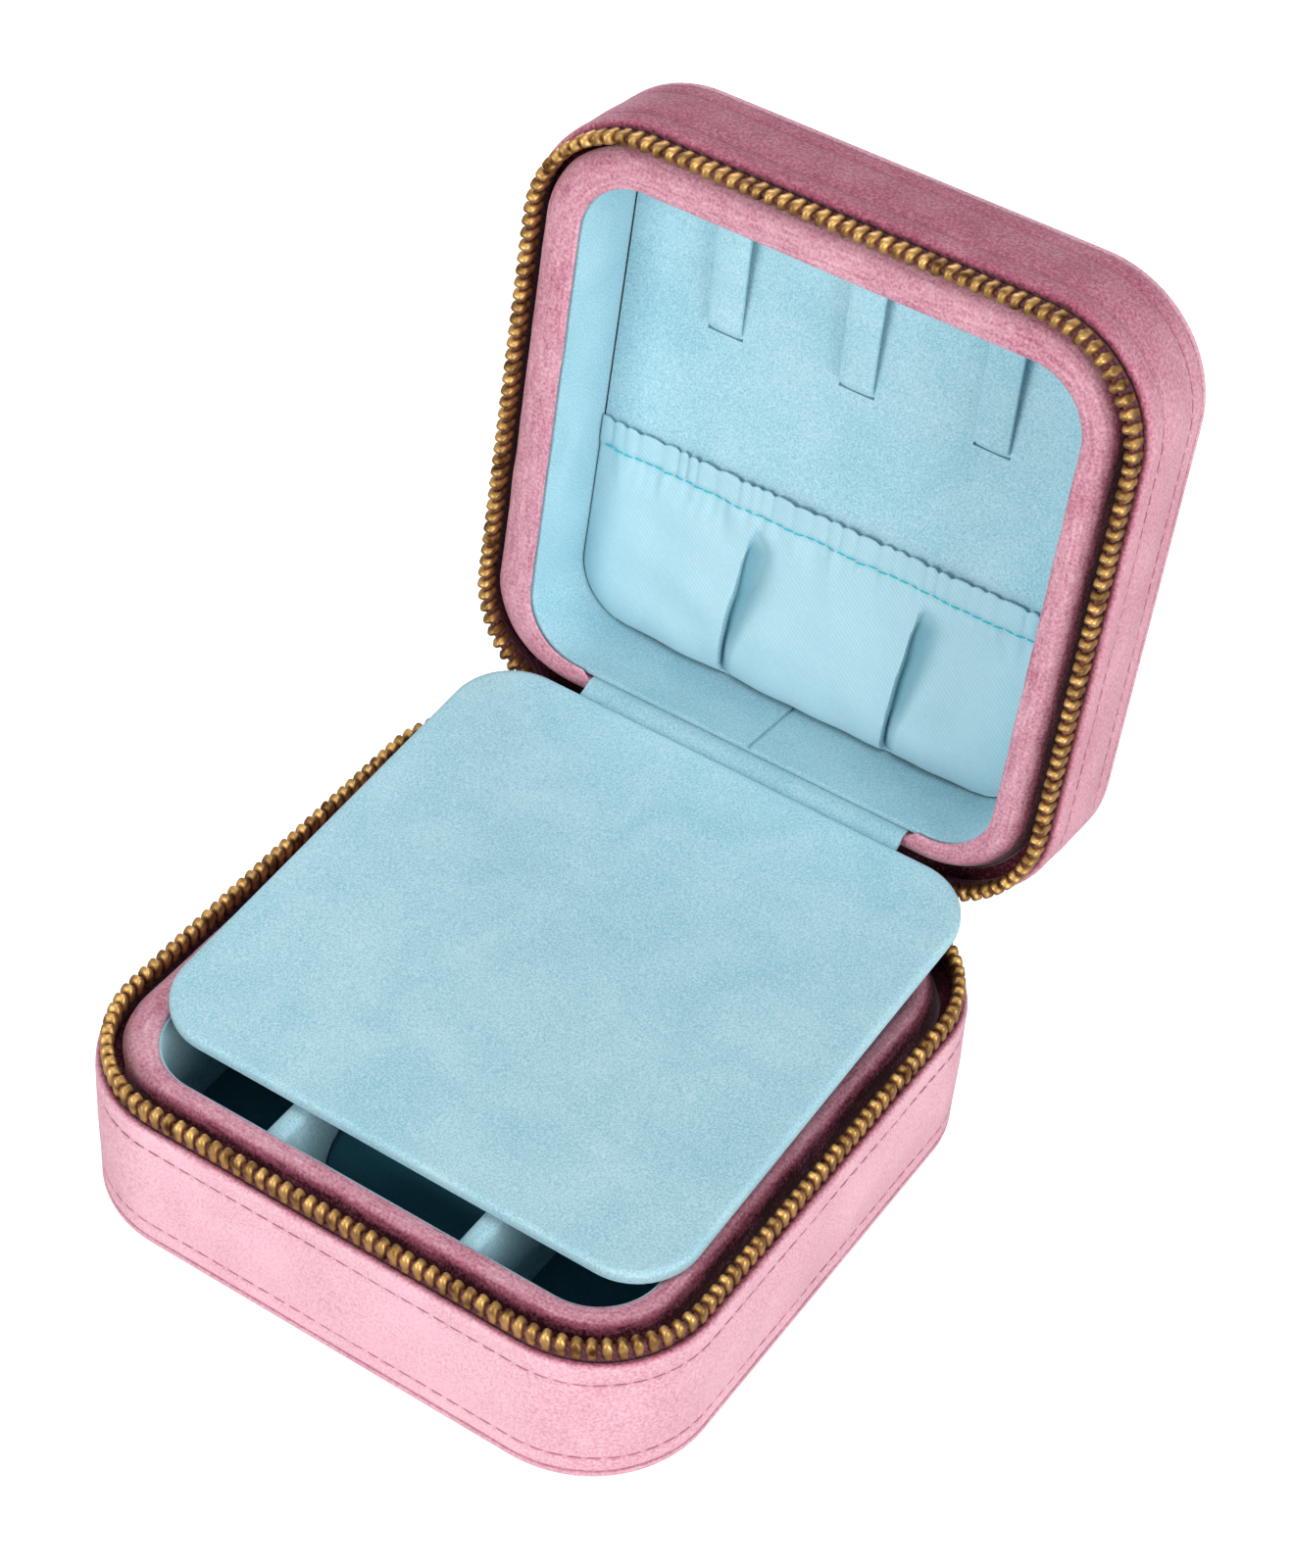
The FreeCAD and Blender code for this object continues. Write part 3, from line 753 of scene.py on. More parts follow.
lid_lining_edge = mirrored(CLOSING + LID_LINING_DROP)
lid_lining = lining_profile(LID_LINING_OUT, LID_LINING_IN, mirrored(PANEL_FACE), lid_lining_edge)
bm = wall(in_half("lid", lid_lining))
butt_joint(bm)
paint_shading(bm, lining_shade)
add_piece("suede_lid_lining", bm, suede, "lid", ["lid_wall_lining"])

floor_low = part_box("base_floor_lining")[0].z / MM
floor_inset = LINING_IN + FLOOR_FIT
inward, drop = FLOOR_ROUND
floor_edge = [(floor_inset, floor_low), (floor_inset, FLOOR_TOP - drop), (floor_inset + inward, FLOOR_TOP)]
bm = panel(BOX, floor_edge)
paint_shading(bm, even_shade(INSIDE_SHADE))
add_piece("suede_base_floor", bm, suede, "base", ["base_floor_lining"])

# %% [markdown]
# Two card dividers wrapped in suede make three compartments, and five foam rolls fill the middle one, where
# rings stand between them. A divider is a bevelled block. A roll is a cylinder with softened ends, sunk a
# little where it lies on the floor.

# %% Dividers and ring rolls
DIVIDER_ROUND = 1.4
ROLL_END_ROUND = 1.5
ROLL_SIDES = 40
ROLL_RUFFLE = (7.0, 0.12)


def soften(bm, edges, size, segments, **more):
    """Rounds edges off by a size in millimetres."""
    bmesh.ops.bevel(bm, geom=edges, offset=size * MM, offset_type="OFFSET", affect="EDGES",
                    segments=segments, profile=0.5, material=-1, **more)


def lay_along_x(bm):
    """Turns an upright shape to lie along X."""
    bmesh.ops.rotate(bm, cent=(0, 0, 0), matrix=Matrix.Rotation(math.pi / 2, 3, "Y"), verts=bm.verts)


def divider(side):
    """One suede divider with a rounded upper edge."""
    low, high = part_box(f"divider_{side}")
    bm = bmesh.new()
    bmesh.ops.create_cube(bm, size=1.0)
    bmesh.ops.scale(bm, vec=high - low, verts=bm.verts)
    bmesh.ops.translate(bm, vec=(low + high) / 2, verts=bm.verts)
    upper = [edge for edge in bm.edges if min(vert.co.z for vert in edge.verts) > high.z - MM]
    ridge = [edge for edge in upper if abs(edge.verts[0].co.y - edge.verts[1].co.y) > MM]
    soften(bm, ridge, DIVIDER_ROUND, 6)
    add_piece(f"suede_divider_{side}", bm, suede, "base", [f"divider_{side}"])


def ring_roll(number):
    """One padded roll with softened ends and a flat underside."""
    low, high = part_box(f"ring_roll_{number}")
    radius = (high.y - low.y) / 2
    bm = bmesh.new()
    bmesh.ops.create_cone(bm, cap_ends=True, segments=ROLL_SIDES, radius1=radius, radius2=radius,
                          depth=high.x - low.x)
    rims = [edge for edge in bm.edges if abs(edge.verts[0].co.z - edge.verts[1].co.z) < 0.1 * MM]
    soften(bm, rims, ROLL_END_ROUND, 4)
    lay_along_x(bm)
    bmesh.ops.translate(bm, vec=(0, (low.y + high.y) / 2, high.z - radius), verts=bm.verts)
    ruffled(bm, *ROLL_RUFFLE)
    for vert in bm.verts:
        vert.co.z = max(vert.co.z, low.z)
    # The rolls get the floor's painted shade.
    paint_shading(bm, even_shade(INSIDE_SHADE))
    roll = add_piece(f"suede_ring_roll_{number}", bm, suede, "base", [f"ring_roll_{number}"])


for side in ("left", "right"):
    divider(side)
for number in range(1, 6):
    ring_roll(number)

# %% [markdown]
# Both halves of the zip are a woven tape with a corded edge, and teeth that were clamped over the cord. The
# tape is a thin wall with a bead on top, cut away across the back where the spine is.

# %% Zip tapes
TAPE_OUT, TAPE_IN = 1.75, 2.35
TAPE_GAP, TAPE_WIDTH = 0.7, 11.0
TAPE_TOP = CLOSING - TAPE_GAP
TAPE_LOW = TAPE_TOP - TAPE_WIDTH
CORD_SWELL = 0.22
SPINE_HALF = 18.5
LID_TAPE_END = 37.4


def tape_profile():
    """Closed profile of the tape with its corded edge."""
    middle = (TAPE_OUT + TAPE_IN) / 2
    core = (TAPE_IN - TAPE_OUT) / 2
    cord = core + CORD_SWELL
    outside = [(TAPE_OUT, TAPE_LOW), (TAPE_OUT, TAPE_TOP - 2.0), (middle - cord, TAPE_TOP - 1.1)]
    edge = [(middle - core, TAPE_TOP - 0.1), (middle + core, TAPE_TOP - 0.1)]
    inside = [(middle + cord, TAPE_TOP - 1.1), (TAPE_IN, TAPE_TOP - 2.0), (TAPE_IN, TAPE_LOW)]
    return outside + edge + inside


def cut_across_back(bm, left, right):
    """Takes the tape away between two places on the back, and closes its ends."""
    for x in (left, right):
        cut_back_at(bm, x)
    back = [face for face in bm.faces if face.calc_center_median().y > 0]
    gone = [face for face in back if left * MM < face.calc_center_median().x < right * MM]
    bmesh.ops.delete(bm, geom=gone, context="FACES")
    bmesh.ops.holes_fill(bm, edges=[edge for edge in bm.edges if edge.is_boundary], sides=0)
    bmesh.ops.recalc_face_normals(bm, faces=bm.faces)


for half, tape_end in (("base", SPINE_HALF), ("lid", LID_TAPE_END)):
    bm = wall(in_half(half, tape_profile()))
    cut_across_back(bm, -tape_end, SPINE_HALF)
    add_piece(f"{half}_tape", bm, tape_twill, half, [f"{half}_zip_tape"])

# %% [markdown]
# A tooth is a little clamp: legs astride the tape, a pinched neck and a narrow head that fits between two
# heads of the other row, and it leans a little along the tape. One tooth is shaped from a cube, and its mesh
# is stamped along the zip line at the real pitch. The lid's row is half a pitch out of step, so that the rows
# mesh when closed.

# %% One tooth, and places along the zip
ZIP_INSET = (TAPE_OUT + TAPE_IN) / 2
TOOTH_PITCH = 2.32
TOOTH_LENGTH = 1.95
TOOTH_THICK = 2.3
TOOTH_LOW = -3.3
TOOTH_HIGH = 0.35
TOOTH_NEAR = 0.1
TOOTH_NECK = (0.76, 0.9, 1.0)
TOOTH_FOOT, TOOTH_HEAD = 0.8, 0.38
TOOTH_SOFT = 0.3
TOOTH_LEAN = math.radians(7)
TOOTH_SMOOTH = math.radians(80)


def way_round(inset):
    """Length of the plan's outline at an inset, in millimetres."""
    return 8 * (HALF - CORNER) + 2 * math.pi * (CORNER - inset)


def along_plan(distance, inset, z):
    """Where a stamped shape stands, walked leftwards from the middle of the back and turned outwards."""
    straight = 2 * (HALF - CORNER)
    bend = CORNER - inset
    quarter, rest = divmod(distance + straight / 2, straight + bend * math.pi / 2)
    swing = max(0.0, rest - straight) / bend
    point = Vector((straight / 2 - min(rest, straight) - bend * math.sin(swing),
                    HALF - CORNER + bend * math.cos(swing), 0))
    turn = quarter * math.pi / 2
    place = Matrix.Rotation(turn, 3, "Z") @ point * MM + Vector((0, 0, z * MM))
    return Matrix.Translation(place) @ Matrix.Rotation(turn + swing, 4, "Z")


def tooth_mesh():
    """One tooth at the origin: X along the tape, Y outwards, Z towards the other row."""
    bm = bmesh.new()
    bmesh.ops.create_cube(bm, size=1.0)
    size = (TOOTH_LENGTH * MM, TOOTH_THICK * MM, (TOOTH_HIGH - TOOTH_LOW) * MM)
    bmesh.ops.scale(bm, vec=size, verts=bm.verts)
    bmesh.ops.translate(bm, vec=(0, 0, (TOOTH_HIGH + TOOTH_LOW) / 2 * MM), verts=bm.verts)
    upright = [edge for edge in bm.edges if abs(edge.verts[0].co.z - edge.verts[1].co.z) > MM]
    bmesh.ops.subdivide_edges(bm, edges=upright, cuts=2)
    neck = [v for v in bm.verts if (TOOTH_LOW + TOOTH_NEAR) * MM < v.co.z < TOOTH_LOW / 2 * MM]
    bmesh.ops.scale(bm, vec=TOOTH_NECK, verts=neck)
    ends = {TOOTH_FOOT: [v for v in bm.verts if v.co.z < (TOOTH_LOW + TOOTH_NEAR) * MM],
            TOOTH_HEAD: [v for v in bm.verts if v.co.z > (TOOTH_HIGH - TOOTH_NEAR) * MM]}
    for share, verts in ends.items():
        bmesh.ops.scale(bm, vec=(share, (1 + share) / 2, 1.0), verts=verts)
    soften(bm, bm.edges[:], TOOTH_SOFT, 1, clamp_overlap=True)
    bmesh.ops.rotate(bm, cent=(0, 0, 0), matrix=Matrix.Rotation(TOOTH_LEAN, 3, "Y"), verts=bm.verts)
    return finished_mesh("tooth", bm)


tooth = tooth_mesh()
print("tooth", len(tooth.polygons), "faces")

# %% Zip teeth
STOP_GAP = 0.5
STOP_LENGTH = 2.4
ROW_MARGIN = STOP_GAP + STOP_LENGTH + TOOTH_PITCH / 2
ZIP_LENGTH = way_round(ZIP_INSET)


def stamp(bm, mesh, place):
    """Adds a copy of a small mesh at a place."""
    start = len(bm.verts)
    bm.from_mesh(mesh)
    bm.verts.ensure_lookup_table()
    bmesh.ops.transform(bm, matrix=place, verts=bm.verts[start:])


def zip_row(mesh, first, last, phase):
    """Teeth on the shared pitch grid between two distances along the zip line."""
    bm = bmesh.new()
    middle = ZIP_LENGTH / 2
    low = math.ceil((first + ROW_MARGIN - middle) / TOOTH_PITCH - phase)
    high = math.floor((last - ROW_MARGIN - middle) / TOOTH_PITCH - phase)
    for k in range(low, high + 1):
        stamp(bm, mesh, along_plan(middle + (k + phase) * TOOTH_PITCH, ZIP_INSET, CLOSING))
    return bm


def turn_over(bm):
    """Mirrors a row of teeth in the closing plane."""
    bmesh.ops.scale(bm, vec=(1, 1, -1), space=Matrix.Translation((0, 0, -CLOSING * MM)), verts=bm.verts)
    bmesh.ops.reverse_faces(bm, faces=bm.faces)


for half, first, phase in (("base", SPINE_HALF, 0.0), ("lid", LID_TAPE_END, 0.5)):
    bm = zip_row(tooth, first, ZIP_LENGTH - SPINE_HALF, phase)
    if half == "lid":
        turn_over(bm)
    add_piece(f"{half}_teeth", bm, brass, half, [f"{half}_zip_teeth"], smooth_below=TOOTH_SMOOTH)

# %% [markdown]
# The slider and its pull are die-cast, so they have no sharp edge anywhere. Their solids are right already:
# a merged copy of each gets its flat faces rejoined and its sharp edges bevelled.

# %% Slider and pull
CAST_EDGE = 0.12
MERGE_WITHIN = 0.001
FLAT_WITHIN = math.radians(1)
SHARP_FROM = math.radians(40)


def cast_copy(name):
    """A softened copy of a metal solid, which stands for it."""
    bm = bmesh.new()
    bm.from_mesh(frame["nodes"][name].data)
    bmesh.ops.remove_doubles(bm, verts=bm.verts, dist=MERGE_WITHIN * MM)
    bmesh.ops.dissolve_limit(bm, angle_limit=FLAT_WITHIN, verts=bm.verts, edges=bm.edges)
    sharp = [e for e in bm.edges if len(e.link_faces) == 2 and e.calc_face_angle() > SHARP_FROM]
    soften(bm, sharp, CAST_EDGE, 2, clamp_overlap=True)
    add_piece(f"brass_{name}", bm, brass, name, [name])


for name in ("zip_slider", "zip_pull"):
    cast_copy(name)

# %% [markdown]
# Stitches are short lengths of thread that dip into the cloth at both ends. Each is a stretched sphere of a
# few faces, half sunk in the groove that the row has drawn into the velvet.

# %% Stitches on the velvet
STITCH_PITCH = 3.1
STITCH_LENGTH = 2.3
STITCH_RADIUS = 0.17
STITCH_INSET = GROOVE * 0.8


def stitch_mesh(length, radius):
    """One stitch at the origin, lying along X."""
    bm = bmesh.new()
    bmesh.ops.create_uvsphere(bm, u_segments=6, v_segments=5, radius=1.0)
    lay_along_x(bm)
    bmesh.ops.scale(bm, vec=(length / 2 * MM, radius * MM, radius * MM), verts=bm.verts)
    return finished_mesh("stitch", bm)


def stitch_rows(half):
    """The rows of stitches right round one half of the box."""
    bm = bmesh.new()
    mesh = stitch_mesh(STITCH_LENGTH, STITCH_RADIUS)
    whole = way_round(GROOVE)
    count = round(whole / STITCH_PITCH)
    for inset, z in in_half(half, [(STITCH_INSET, z) for z in stitch_heights(half)]):
        for i in range(count):
            stamp(bm, mesh, along_plan(whole * i / count, inset, z))
    return bm


for half in HALVES:
    add_piece(f"{half}_stitches", stitch_rows(half), pink_thread, half)

# %% [markdown]
# The panel inside the lid is suede on card with three slits. It starts as the plan's own face; planes cut it
# along the slits, the faces between them are taken out and the edges are pushed down. The straps hang from
# the lid's top edge, stand off the panel there and tuck their ends into the slits.

# %% Lid panel
STRAP_WIDTH = 6.5
STRAP_LENGTH = 27.5
STRAP_ROOT = -(HALF - LID_LINING_IN - LID_FIT)
STRAPS = {name: joints[f"strap_{name}_lift"]["pos_m"][0] / MM for name in ("left", "centre", "right")}
SLIT_CLEAR = 0.2
SLIT_HALF = STRAP_WIDTH / 2 + SLIT_CLEAR
SLIT_WIDE = 0.7
SLIT_DEPTH = 1.25
SLIT_Y = STRAP_ROOT + STRAP_LENGTH
PANEL_INSET = LID_LINING_IN + LID_FIT


def in_slit(face):
    """Whether a face of the panel lies in one of the slits."""
    middle = face.calc_center_median()
    beside = min(abs(middle.x - x * MM) for x in STRAPS.values())
    return SLIT_Y * MM < middle.y < (SLIT_Y + SLIT_WIDE) * MM and beside < SLIT_HALF * MM


def face_room(bm):
    """Turns a sheet's faces to look out of the closed lid's depth, downwards."""
    bmesh.ops.recalc_face_normals(bm, faces=bm.faces)
    if sum(face.normal.z for face in bm.faces) > 0:
        bmesh.ops.reverse_faces(bm, faces=bm.faces)


def lid_panel():
    """The panel's face with its slits, and its edge turned back."""
    bm = bmesh.new()
    loop = rounded_loop(bm, BOX, PANEL_INSET, PANEL_FACE)
    bmesh.ops.contextual_create(bm, geom=loop)
    cuts = [((x + side * SLIT_HALF, 0, 0), (1, 0, 0)) for x in STRAPS.values() for side in (-1, 1)]
    cuts += [((0, y, 0), (0, 1, 0)) for y in (SLIT_Y, SLIT_Y + SLIT_WIDE)]
    for place, normal in cuts:
        geom = bm.verts[:] + bm.edges[:] + bm.faces[:]
        bmesh.ops.bisect_plane(bm, geom=geom, plane_co=Vector(place) * MM, plane_no=normal)
    bmesh.ops.delete(bm, geom=[face for face in bm.faces if in_slit(face)], context="FACES")
    turned_back = extruded(bm, [edge for edge in bm.edges if edge.is_boundary])[0]
    bmesh.ops.translate(bm, vec=(0, 0, SLIT_DEPTH * MM), verts=list(turned_back))
    face_room(bm)
    return bm


add_piece("suede_lid_panel", lid_panel(), suede, "lid", ["lid_panel"])

# %% Necklace straps
STRAP_CELLS = (4, 40)
STRAP_THICK = 0.8
STRAP_STAND = 1.9
STRAP_RISES = (0.0, 0.16)
STRAP_FALL = 1.2
STRAP_DIPS = (0.94, 1.0)
STRAP_BOW = 0.5
STRAP_BED = 0.25
STRAP_DIP = 1.2
STRAP_CUP = 0.25
STRAP_CLEAR = 0.4
STRAP_TUCK = 0.1
STRAP_EDGE = 0.2
STRAP_SHARP_FROM = math.radians(60)


def strap_lift(share):
    """How far the strap stands off the panel along its length, and how its end dips into the slit."""
    stand = STRAP_STAND * smooth_step(*STRAP_RISES, share) * (1 - share) ** STRAP_FALL
    stand += STRAP_BOW * math.sin(math.pi * share)
    dip = smooth_step(*STRAP_DIPS, share)
    return STRAP_BED + stand * (1 - dip) - STRAP_DIP * dip


def strap(name):
    """One necklace strap: a strip of suede cells, bowed, thickened and softened."""
    bm = bmesh.new()
    bmesh.ops.create_grid(bm, x_segments=STRAP_CELLS[0], y_segments=STRAP_CELLS[1], size=0.5)
    for vert in bm.verts:
        share = vert.co.y + 0.5
        cup = STRAP_CUP * (2 * vert.co.x) ** 2
        vert.co = Vector((STRAPS[name] + vert.co.x * STRAP_WIDTH,
                          STRAP_ROOT + STRAP_CLEAR + share * (STRAP_LENGTH + STRAP_TUCK),
                          PANEL_FACE - strap_lift(share) + cup)) * MM
    made = bmesh.ops.extrude_face_region(bm, geom=bm.faces[:])["geom"]
    raised = [item for item in made if isinstance(item, bmesh.types.BMVert)]
    bmesh.ops.translate(bm, vec=(0, 0, -STRAP_THICK * MM), verts=raised)
    bmesh.ops.recalc_face_normals(bm, faces=bm.faces)
    sharp = [edge for edge in bm.edges if edge.calc_face_angle(0.0) > STRAP_SHARP_FROM]
    soften(bm, sharp, STRAP_EDGE, 2)
    open_lid(bm)
    add_piece(f"suede_strap_{name}", bm, suede, f"strap_{name}", [f"necklace_strap_{name}"])


for name in STRAPS:
    strap(name)

# %% [markdown]
# The pocket is one sheet of satin, gathered on an elastic hem. A simulation would gather it at random, and
# the real one has two sewn pleats in known places, so a fine grid is moved by one formula instead: a puffed
# body, a step at each pleat, and a frill above the stitch line whose folds fade into the body below it.

# %% Pleats and gathers of the pocket
POCKET_HEIGHT = 39.5
POCKET_HALF = HALF - LID_LINING_IN - LID_FIT
POCKET_BOTTOM = POCKET_HALF
POCKET_ROUND = CORNER - LID_LINING_IN
HEM = 5.6
HEM_UP = POCKET_HEIGHT - HEM
PLEATS = (-14.0, 19.5)
PLEAT_SLANT = 0.05
PLEAT_MIDDLE = 15
PLEAT_CRISP, PLEAT_SOFT, PLEAT_FLARE = 0.3, 1.0, 2.6
PLEAT_OPENS = (4, 22)
PLEAT_ENDS = (26, 32)
TUCK = 1.3
TUCK_OFF, TUCK_WIDE = 0.35, 0.7
TUCK_STARTS, TUCK_ENDS = (0, 2), (24, 30)
FRILL_STARTS = (HEM_UP - 0.8, HEM_UP + 1.2)
GATHER_PITCH = 3.1
GATHER_WANDER, GATHER_DRIFT = 2.6, 7.0
GATHER_STRENGTH, GATHER_CHANGE, GATHER_RUN = 0.55, 0.5, 8.0


def pocket_half_width(up):
    """Half the pocket's width at a height above its bottom, round the lid's corners."""
    if up >= POCKET_ROUND:
        return POCKET_HALF
    drop = POCKET_ROUND - up
    return POCKET_HALF - POCKET_ROUND + math.sqrt(max(0.0, POCKET_ROUND ** 2 - drop ** 2))


def off_pleats(x, up):
    """How far across the cloth a place lies from each pleat's slanted fold."""
    return [x - pleat - PLEAT_SLANT * (up - PLEAT_MIDDLE) for pleat in PLEATS]


def pleat_depth(x, up):
    """How deep in a pleat a place lies, from 0 on the open cloth to 1 at its fold."""
    deep = 0.0
    for off in off_pleats(x, up):
        soft = PLEAT_CRISP if off < 0 else PLEAT_SOFT + PLEAT_FLARE * smooth_step(*PLEAT_OPENS, up)
        deep += math.exp(-(off / soft) ** 2)
    return deep * (1 - smooth_step(*PLEAT_ENDS, up))


def pleat_tuck(x, up):
    """How far the floor of a pleat is drawn in under the cloth on its left."""
    tuck = 0.0
    for off in off_pleats(x, up):
        drawn = TUCK * math.exp(-((off - TUCK_OFF) / TUCK_WIDE) ** 2)
        tuck += drawn * (1 - smooth_step(*TUCK_ENDS, up)) * smooth_step(*TUCK_STARTS, up)
    return tuck


def in_frill(up):
    """Zero below the stitch line, one in the frill above it."""
    return smooth_step(*FRILL_STARTS, up)


def gather(x, up):
    """How deep in a gather of the frill a place lies, from 0 to 1, with no two gathers alike."""
    wander = GATHER_WANDER * noise.noise(Vector((x / GATHER_DRIFT, 3.1, 0)))
    strength = GATHER_STRENGTH + GATHER_CHANGE * noise.noise(Vector((x / GATHER_RUN, 9.2, 0)))
    crease = (1 - abs(math.sin(math.pi * (x + wander) / GATHER_PITCH))) ** 2
    return strength * crease * in_frill(up)


print("pocket", 2 * POCKET_HALF, "by", POCKET_HEIGHT, "mm, stitch line at", HEM_UP)

# %% Gathered pocket
POCKET_CELLS = (230, 84)
POCKET_BULGE = 3.3
POCKET_SWELL = 8
POCKET_DRAWN_FROM = 11
HEM_DRAW = 0.8
PLEAT_DEPTH = 2.7
FRILL_RISE = 0.6
GATHER_DEPTH = 0.6
FOLDS_BELOW, FOLD_SIZE = 0.9, (2.0, 12.0)
FOLDS_FADE = (HEM_UP - 8, HEM_UP - 1)
RUMPLE, RUMPLE_SIZE = 0.7, (9.0, 8.0)
SIDE_SQUARE = 6
STITCH_DENT, STITCH_DENT_WIDE = 0.3, 0.7
POCKET_OFF, POCKET_BED = 0.3, 0.45
POCKET_THICK = 0.4
PLEAT_SHADE, GATHER_SHADE = 0.7, 0.16
SCALLOP, SCALLOP_HIGH = 1.5, 2.5


def pocket_lift(x, up):
    """Height of the cloth off the panel at a place across and above the pocket's bottom."""
    side = max(0.0, 1 - (abs(x) / pocket_half_width(up)) ** SIDE_SQUARE)
    swell = min(1.0, max(0.0, up / POCKET_SWELL))
    body = math.sqrt(1 - (1 - swell) ** 2) * (1 - HEM_DRAW * smooth_step(POCKET_DRAWN_FROM, HEM_UP, up))
    lift = POCKET_BULGE * side * body
    lift -= PLEAT_DEPTH * side * pleat_depth(x, up)
    lift += FRILL_RISE * in_frill(up) - GATHER_DEPTH * gather(x, up)
    below = smooth_step(*FOLDS_FADE, up) * (1 - in_frill(up))
    lift += below * FOLDS_BELOW * noise.noise(Vector((x / FOLD_SIZE[0], up / FOLD_SIZE[1], 1.7)))
    lift += RUMPLE * noise.noise(Vector((x / RUMPLE_SIZE[0], up / RUMPLE_SIZE[1], 5.0))) * side
    at_stitch = math.exp(-((up - HEM_UP) / STITCH_DENT_WIDE) ** 2)
    return max(POCKET_BED, lift - STITCH_DENT * at_stitch * side + POCKET_OFF)


def pocket_point(x, up):
    """A place on the pocket's outer face, in the closed lid."""
    return Vector((x, POCKET_BOTTOM - up, PANEL_FACE - pocket_lift(x, up))) * MM


bm = bmesh.new()
bmesh.ops.create_grid(bm, x_segments=POCKET_CELLS[0], y_segments=POCKET_CELLS[1], size=0.5)
# The pocket's pleats and gathers get painted shade.
fold_shade_layer = bm.verts.layers.float.new("painted_shading")
for vert in bm.verts:
    up = (vert.co.y + 0.5) * POCKET_HEIGHT
    x = 2 * vert.co.x * pocket_half_width(up)
    vert[fold_shade_layer] = PLEAT_SHADE * pleat_depth(x, up) + GATHER_SHADE * gather(x, up)
    up -= SCALLOP * smooth_step(POCKET_HEIGHT - SCALLOP_HIGH, POCKET_HEIGHT, up) * gather(x, up)
    vert.co = pocket_point(x, up) - Vector((pleat_tuck(x, up) * MM, 0, 0))
face_room(bm)
pocket_area = sum(face.calc_area() for face in bm.faces)
pocket = add_piece("gathered_pocket", bm, pocket_satin, "lid",
                   ["pocket_cloth", "pocket_elastic"])
thick = pocket.modifiers.new("cloth", "SOLIDIFY")
thick.thickness = POCKET_THICK * MM
thick.offset = -1.0

# %% Turquoise stitches on the pocket's hem
HEM_STITCHES = 44
HEM_STITCH_START = 2.0
HEM_STITCH_PITCH = 2.05
HEM_STITCH_LENGTH, HEM_STITCH_RADIUS = 1.9, 0.2
HEM_STITCH_PROUD = 0.14
HEM_STITCH_LOOK = 0.6

bm = bmesh.new()
thread = stitch_mesh(HEM_STITCH_LENGTH, HEM_STITCH_RADIUS)
for i in range(HEM_STITCHES):
    x = -POCKET_HALF + HEM_STITCH_START + i * HEM_STITCH_PITCH
    here = pocket_point(x, HEM_UP)
    ahead = pocket_point(x + HEM_STITCH_LOOK, HEM_UP)
    slope = math.atan2(ahead.z - here.z, ahead.x - here.x)
    place = Matrix.Translation(here - Vector((0, 0, HEM_STITCH_PROUD * MM)))
    stamp(bm, thread, place @ Matrix.Rotation(-slope, 4, "Y"))
hem_thread = add_piece("pocket_hem_stitches", bm, turquoise_thread, "lid")

# %% [markdown]
# The flap is card wrapped in suede, with its seam on the edge. It is drawn flat in the closing plane, like a
# round-cornered plate, then carried to its hinge and tilted until its front edge lies on the collar.

# %% Flap over the compartments
FLAP_THICK = 2.6
FLAP_SKIN = 0.5
FLAP_RADIUS = 11.5
FLAP_BENDS = 16
FLAP_HINGE_IN = 7.9
FLAP_LAP = 2.0
FLAP_CLEAR = 0.05
FLAP_REST_GAP = 0.25
FLAP_HINGE_Y = HALF - FLAP_HINGE_IN
FLAP_FRONT = -(HALF - COLLAR_IN + FLAP_LAP)
FLAP_REAR = FLAP_HINGE_Y - FLAP_THICK / 2 - FLAP_CLEAR
FLAP_PIVOT = Vector(joints["flap_lift"]["pos_m"])
FLAP = Plan(-FLAP_FRONT, (FLAP_REAR - FLAP_FRONT) / 2, FLAP_RADIUS, (FLAP_REAR + FLAP_FRONT) / 2)
flap_drop = FLAP_PIVOT.z / MM - FLAP_THICK / 2 - COLLAR_TOP - FLAP_REST_GAP
FLAP_TILT = math.asin(flap_drop / (FLAP_HINGE_Y - FLAP_FRONT))
flap_low = CLOSING - FLAP_THICK / 2
flap_high = CLOSING + FLAP_THICK / 2
flap_seam = flap_low + FLAP_SKIN


def lay_flap(bm):
    """Carries a flap piece from the closing plane to its rest."""
    home = Vector((0, FLAP_HINGE_Y * MM, CLOSING * MM))
    bmesh.ops.translate(bm, vec=FLAP_PIVOT - home, verts=bm.verts)
    bmesh.ops.rotate(bm, cent=FLAP_PIVOT, matrix=Matrix.Rotation(FLAP_TILT, 3, "X"), verts=bm.verts)


def add_flap_skin(name, edge, replaces):
    """One suede skin of the flap, from (inset, height) points above or below the flap's seam."""
    bm = panel(FLAP, edge, FLAP_BENDS)
    lay_flap(bm)
    add_piece(name, bm, suede, "flap", replaces)


side = [(FLAP_SKIN, 0.0), (0.05, 0.0), (0.0, 0.2), (-0.06, 0.8)]
over = [(0.0, -0.55), (0.16, -0.2), (0.5, 0.02), (1.1, 0.08), (2.2, 0.02), (4.5, 0.0), (9.0, 0.0)]
upper_skin = [(inset, flap_seam + z) for inset, z in side] + [(inset, flap_high + z) for inset, z in over]
under = [(3.0, 0.0), (0.9, 0.0), (0.3, 0.1), (0.1, 0.3)]
lower_skin = [(inset, flap_low + z) for inset, z in under] + [(0.25, flap_seam - 0.02)]
add_flap_skin("suede_flap_top", upper_skin, ["flap_cover"])
add_flap_skin("suede_flap_lining", lower_skin, ["flap_lining"])
print("flap tilt", round(math.degrees(FLAP_TILT), 3))

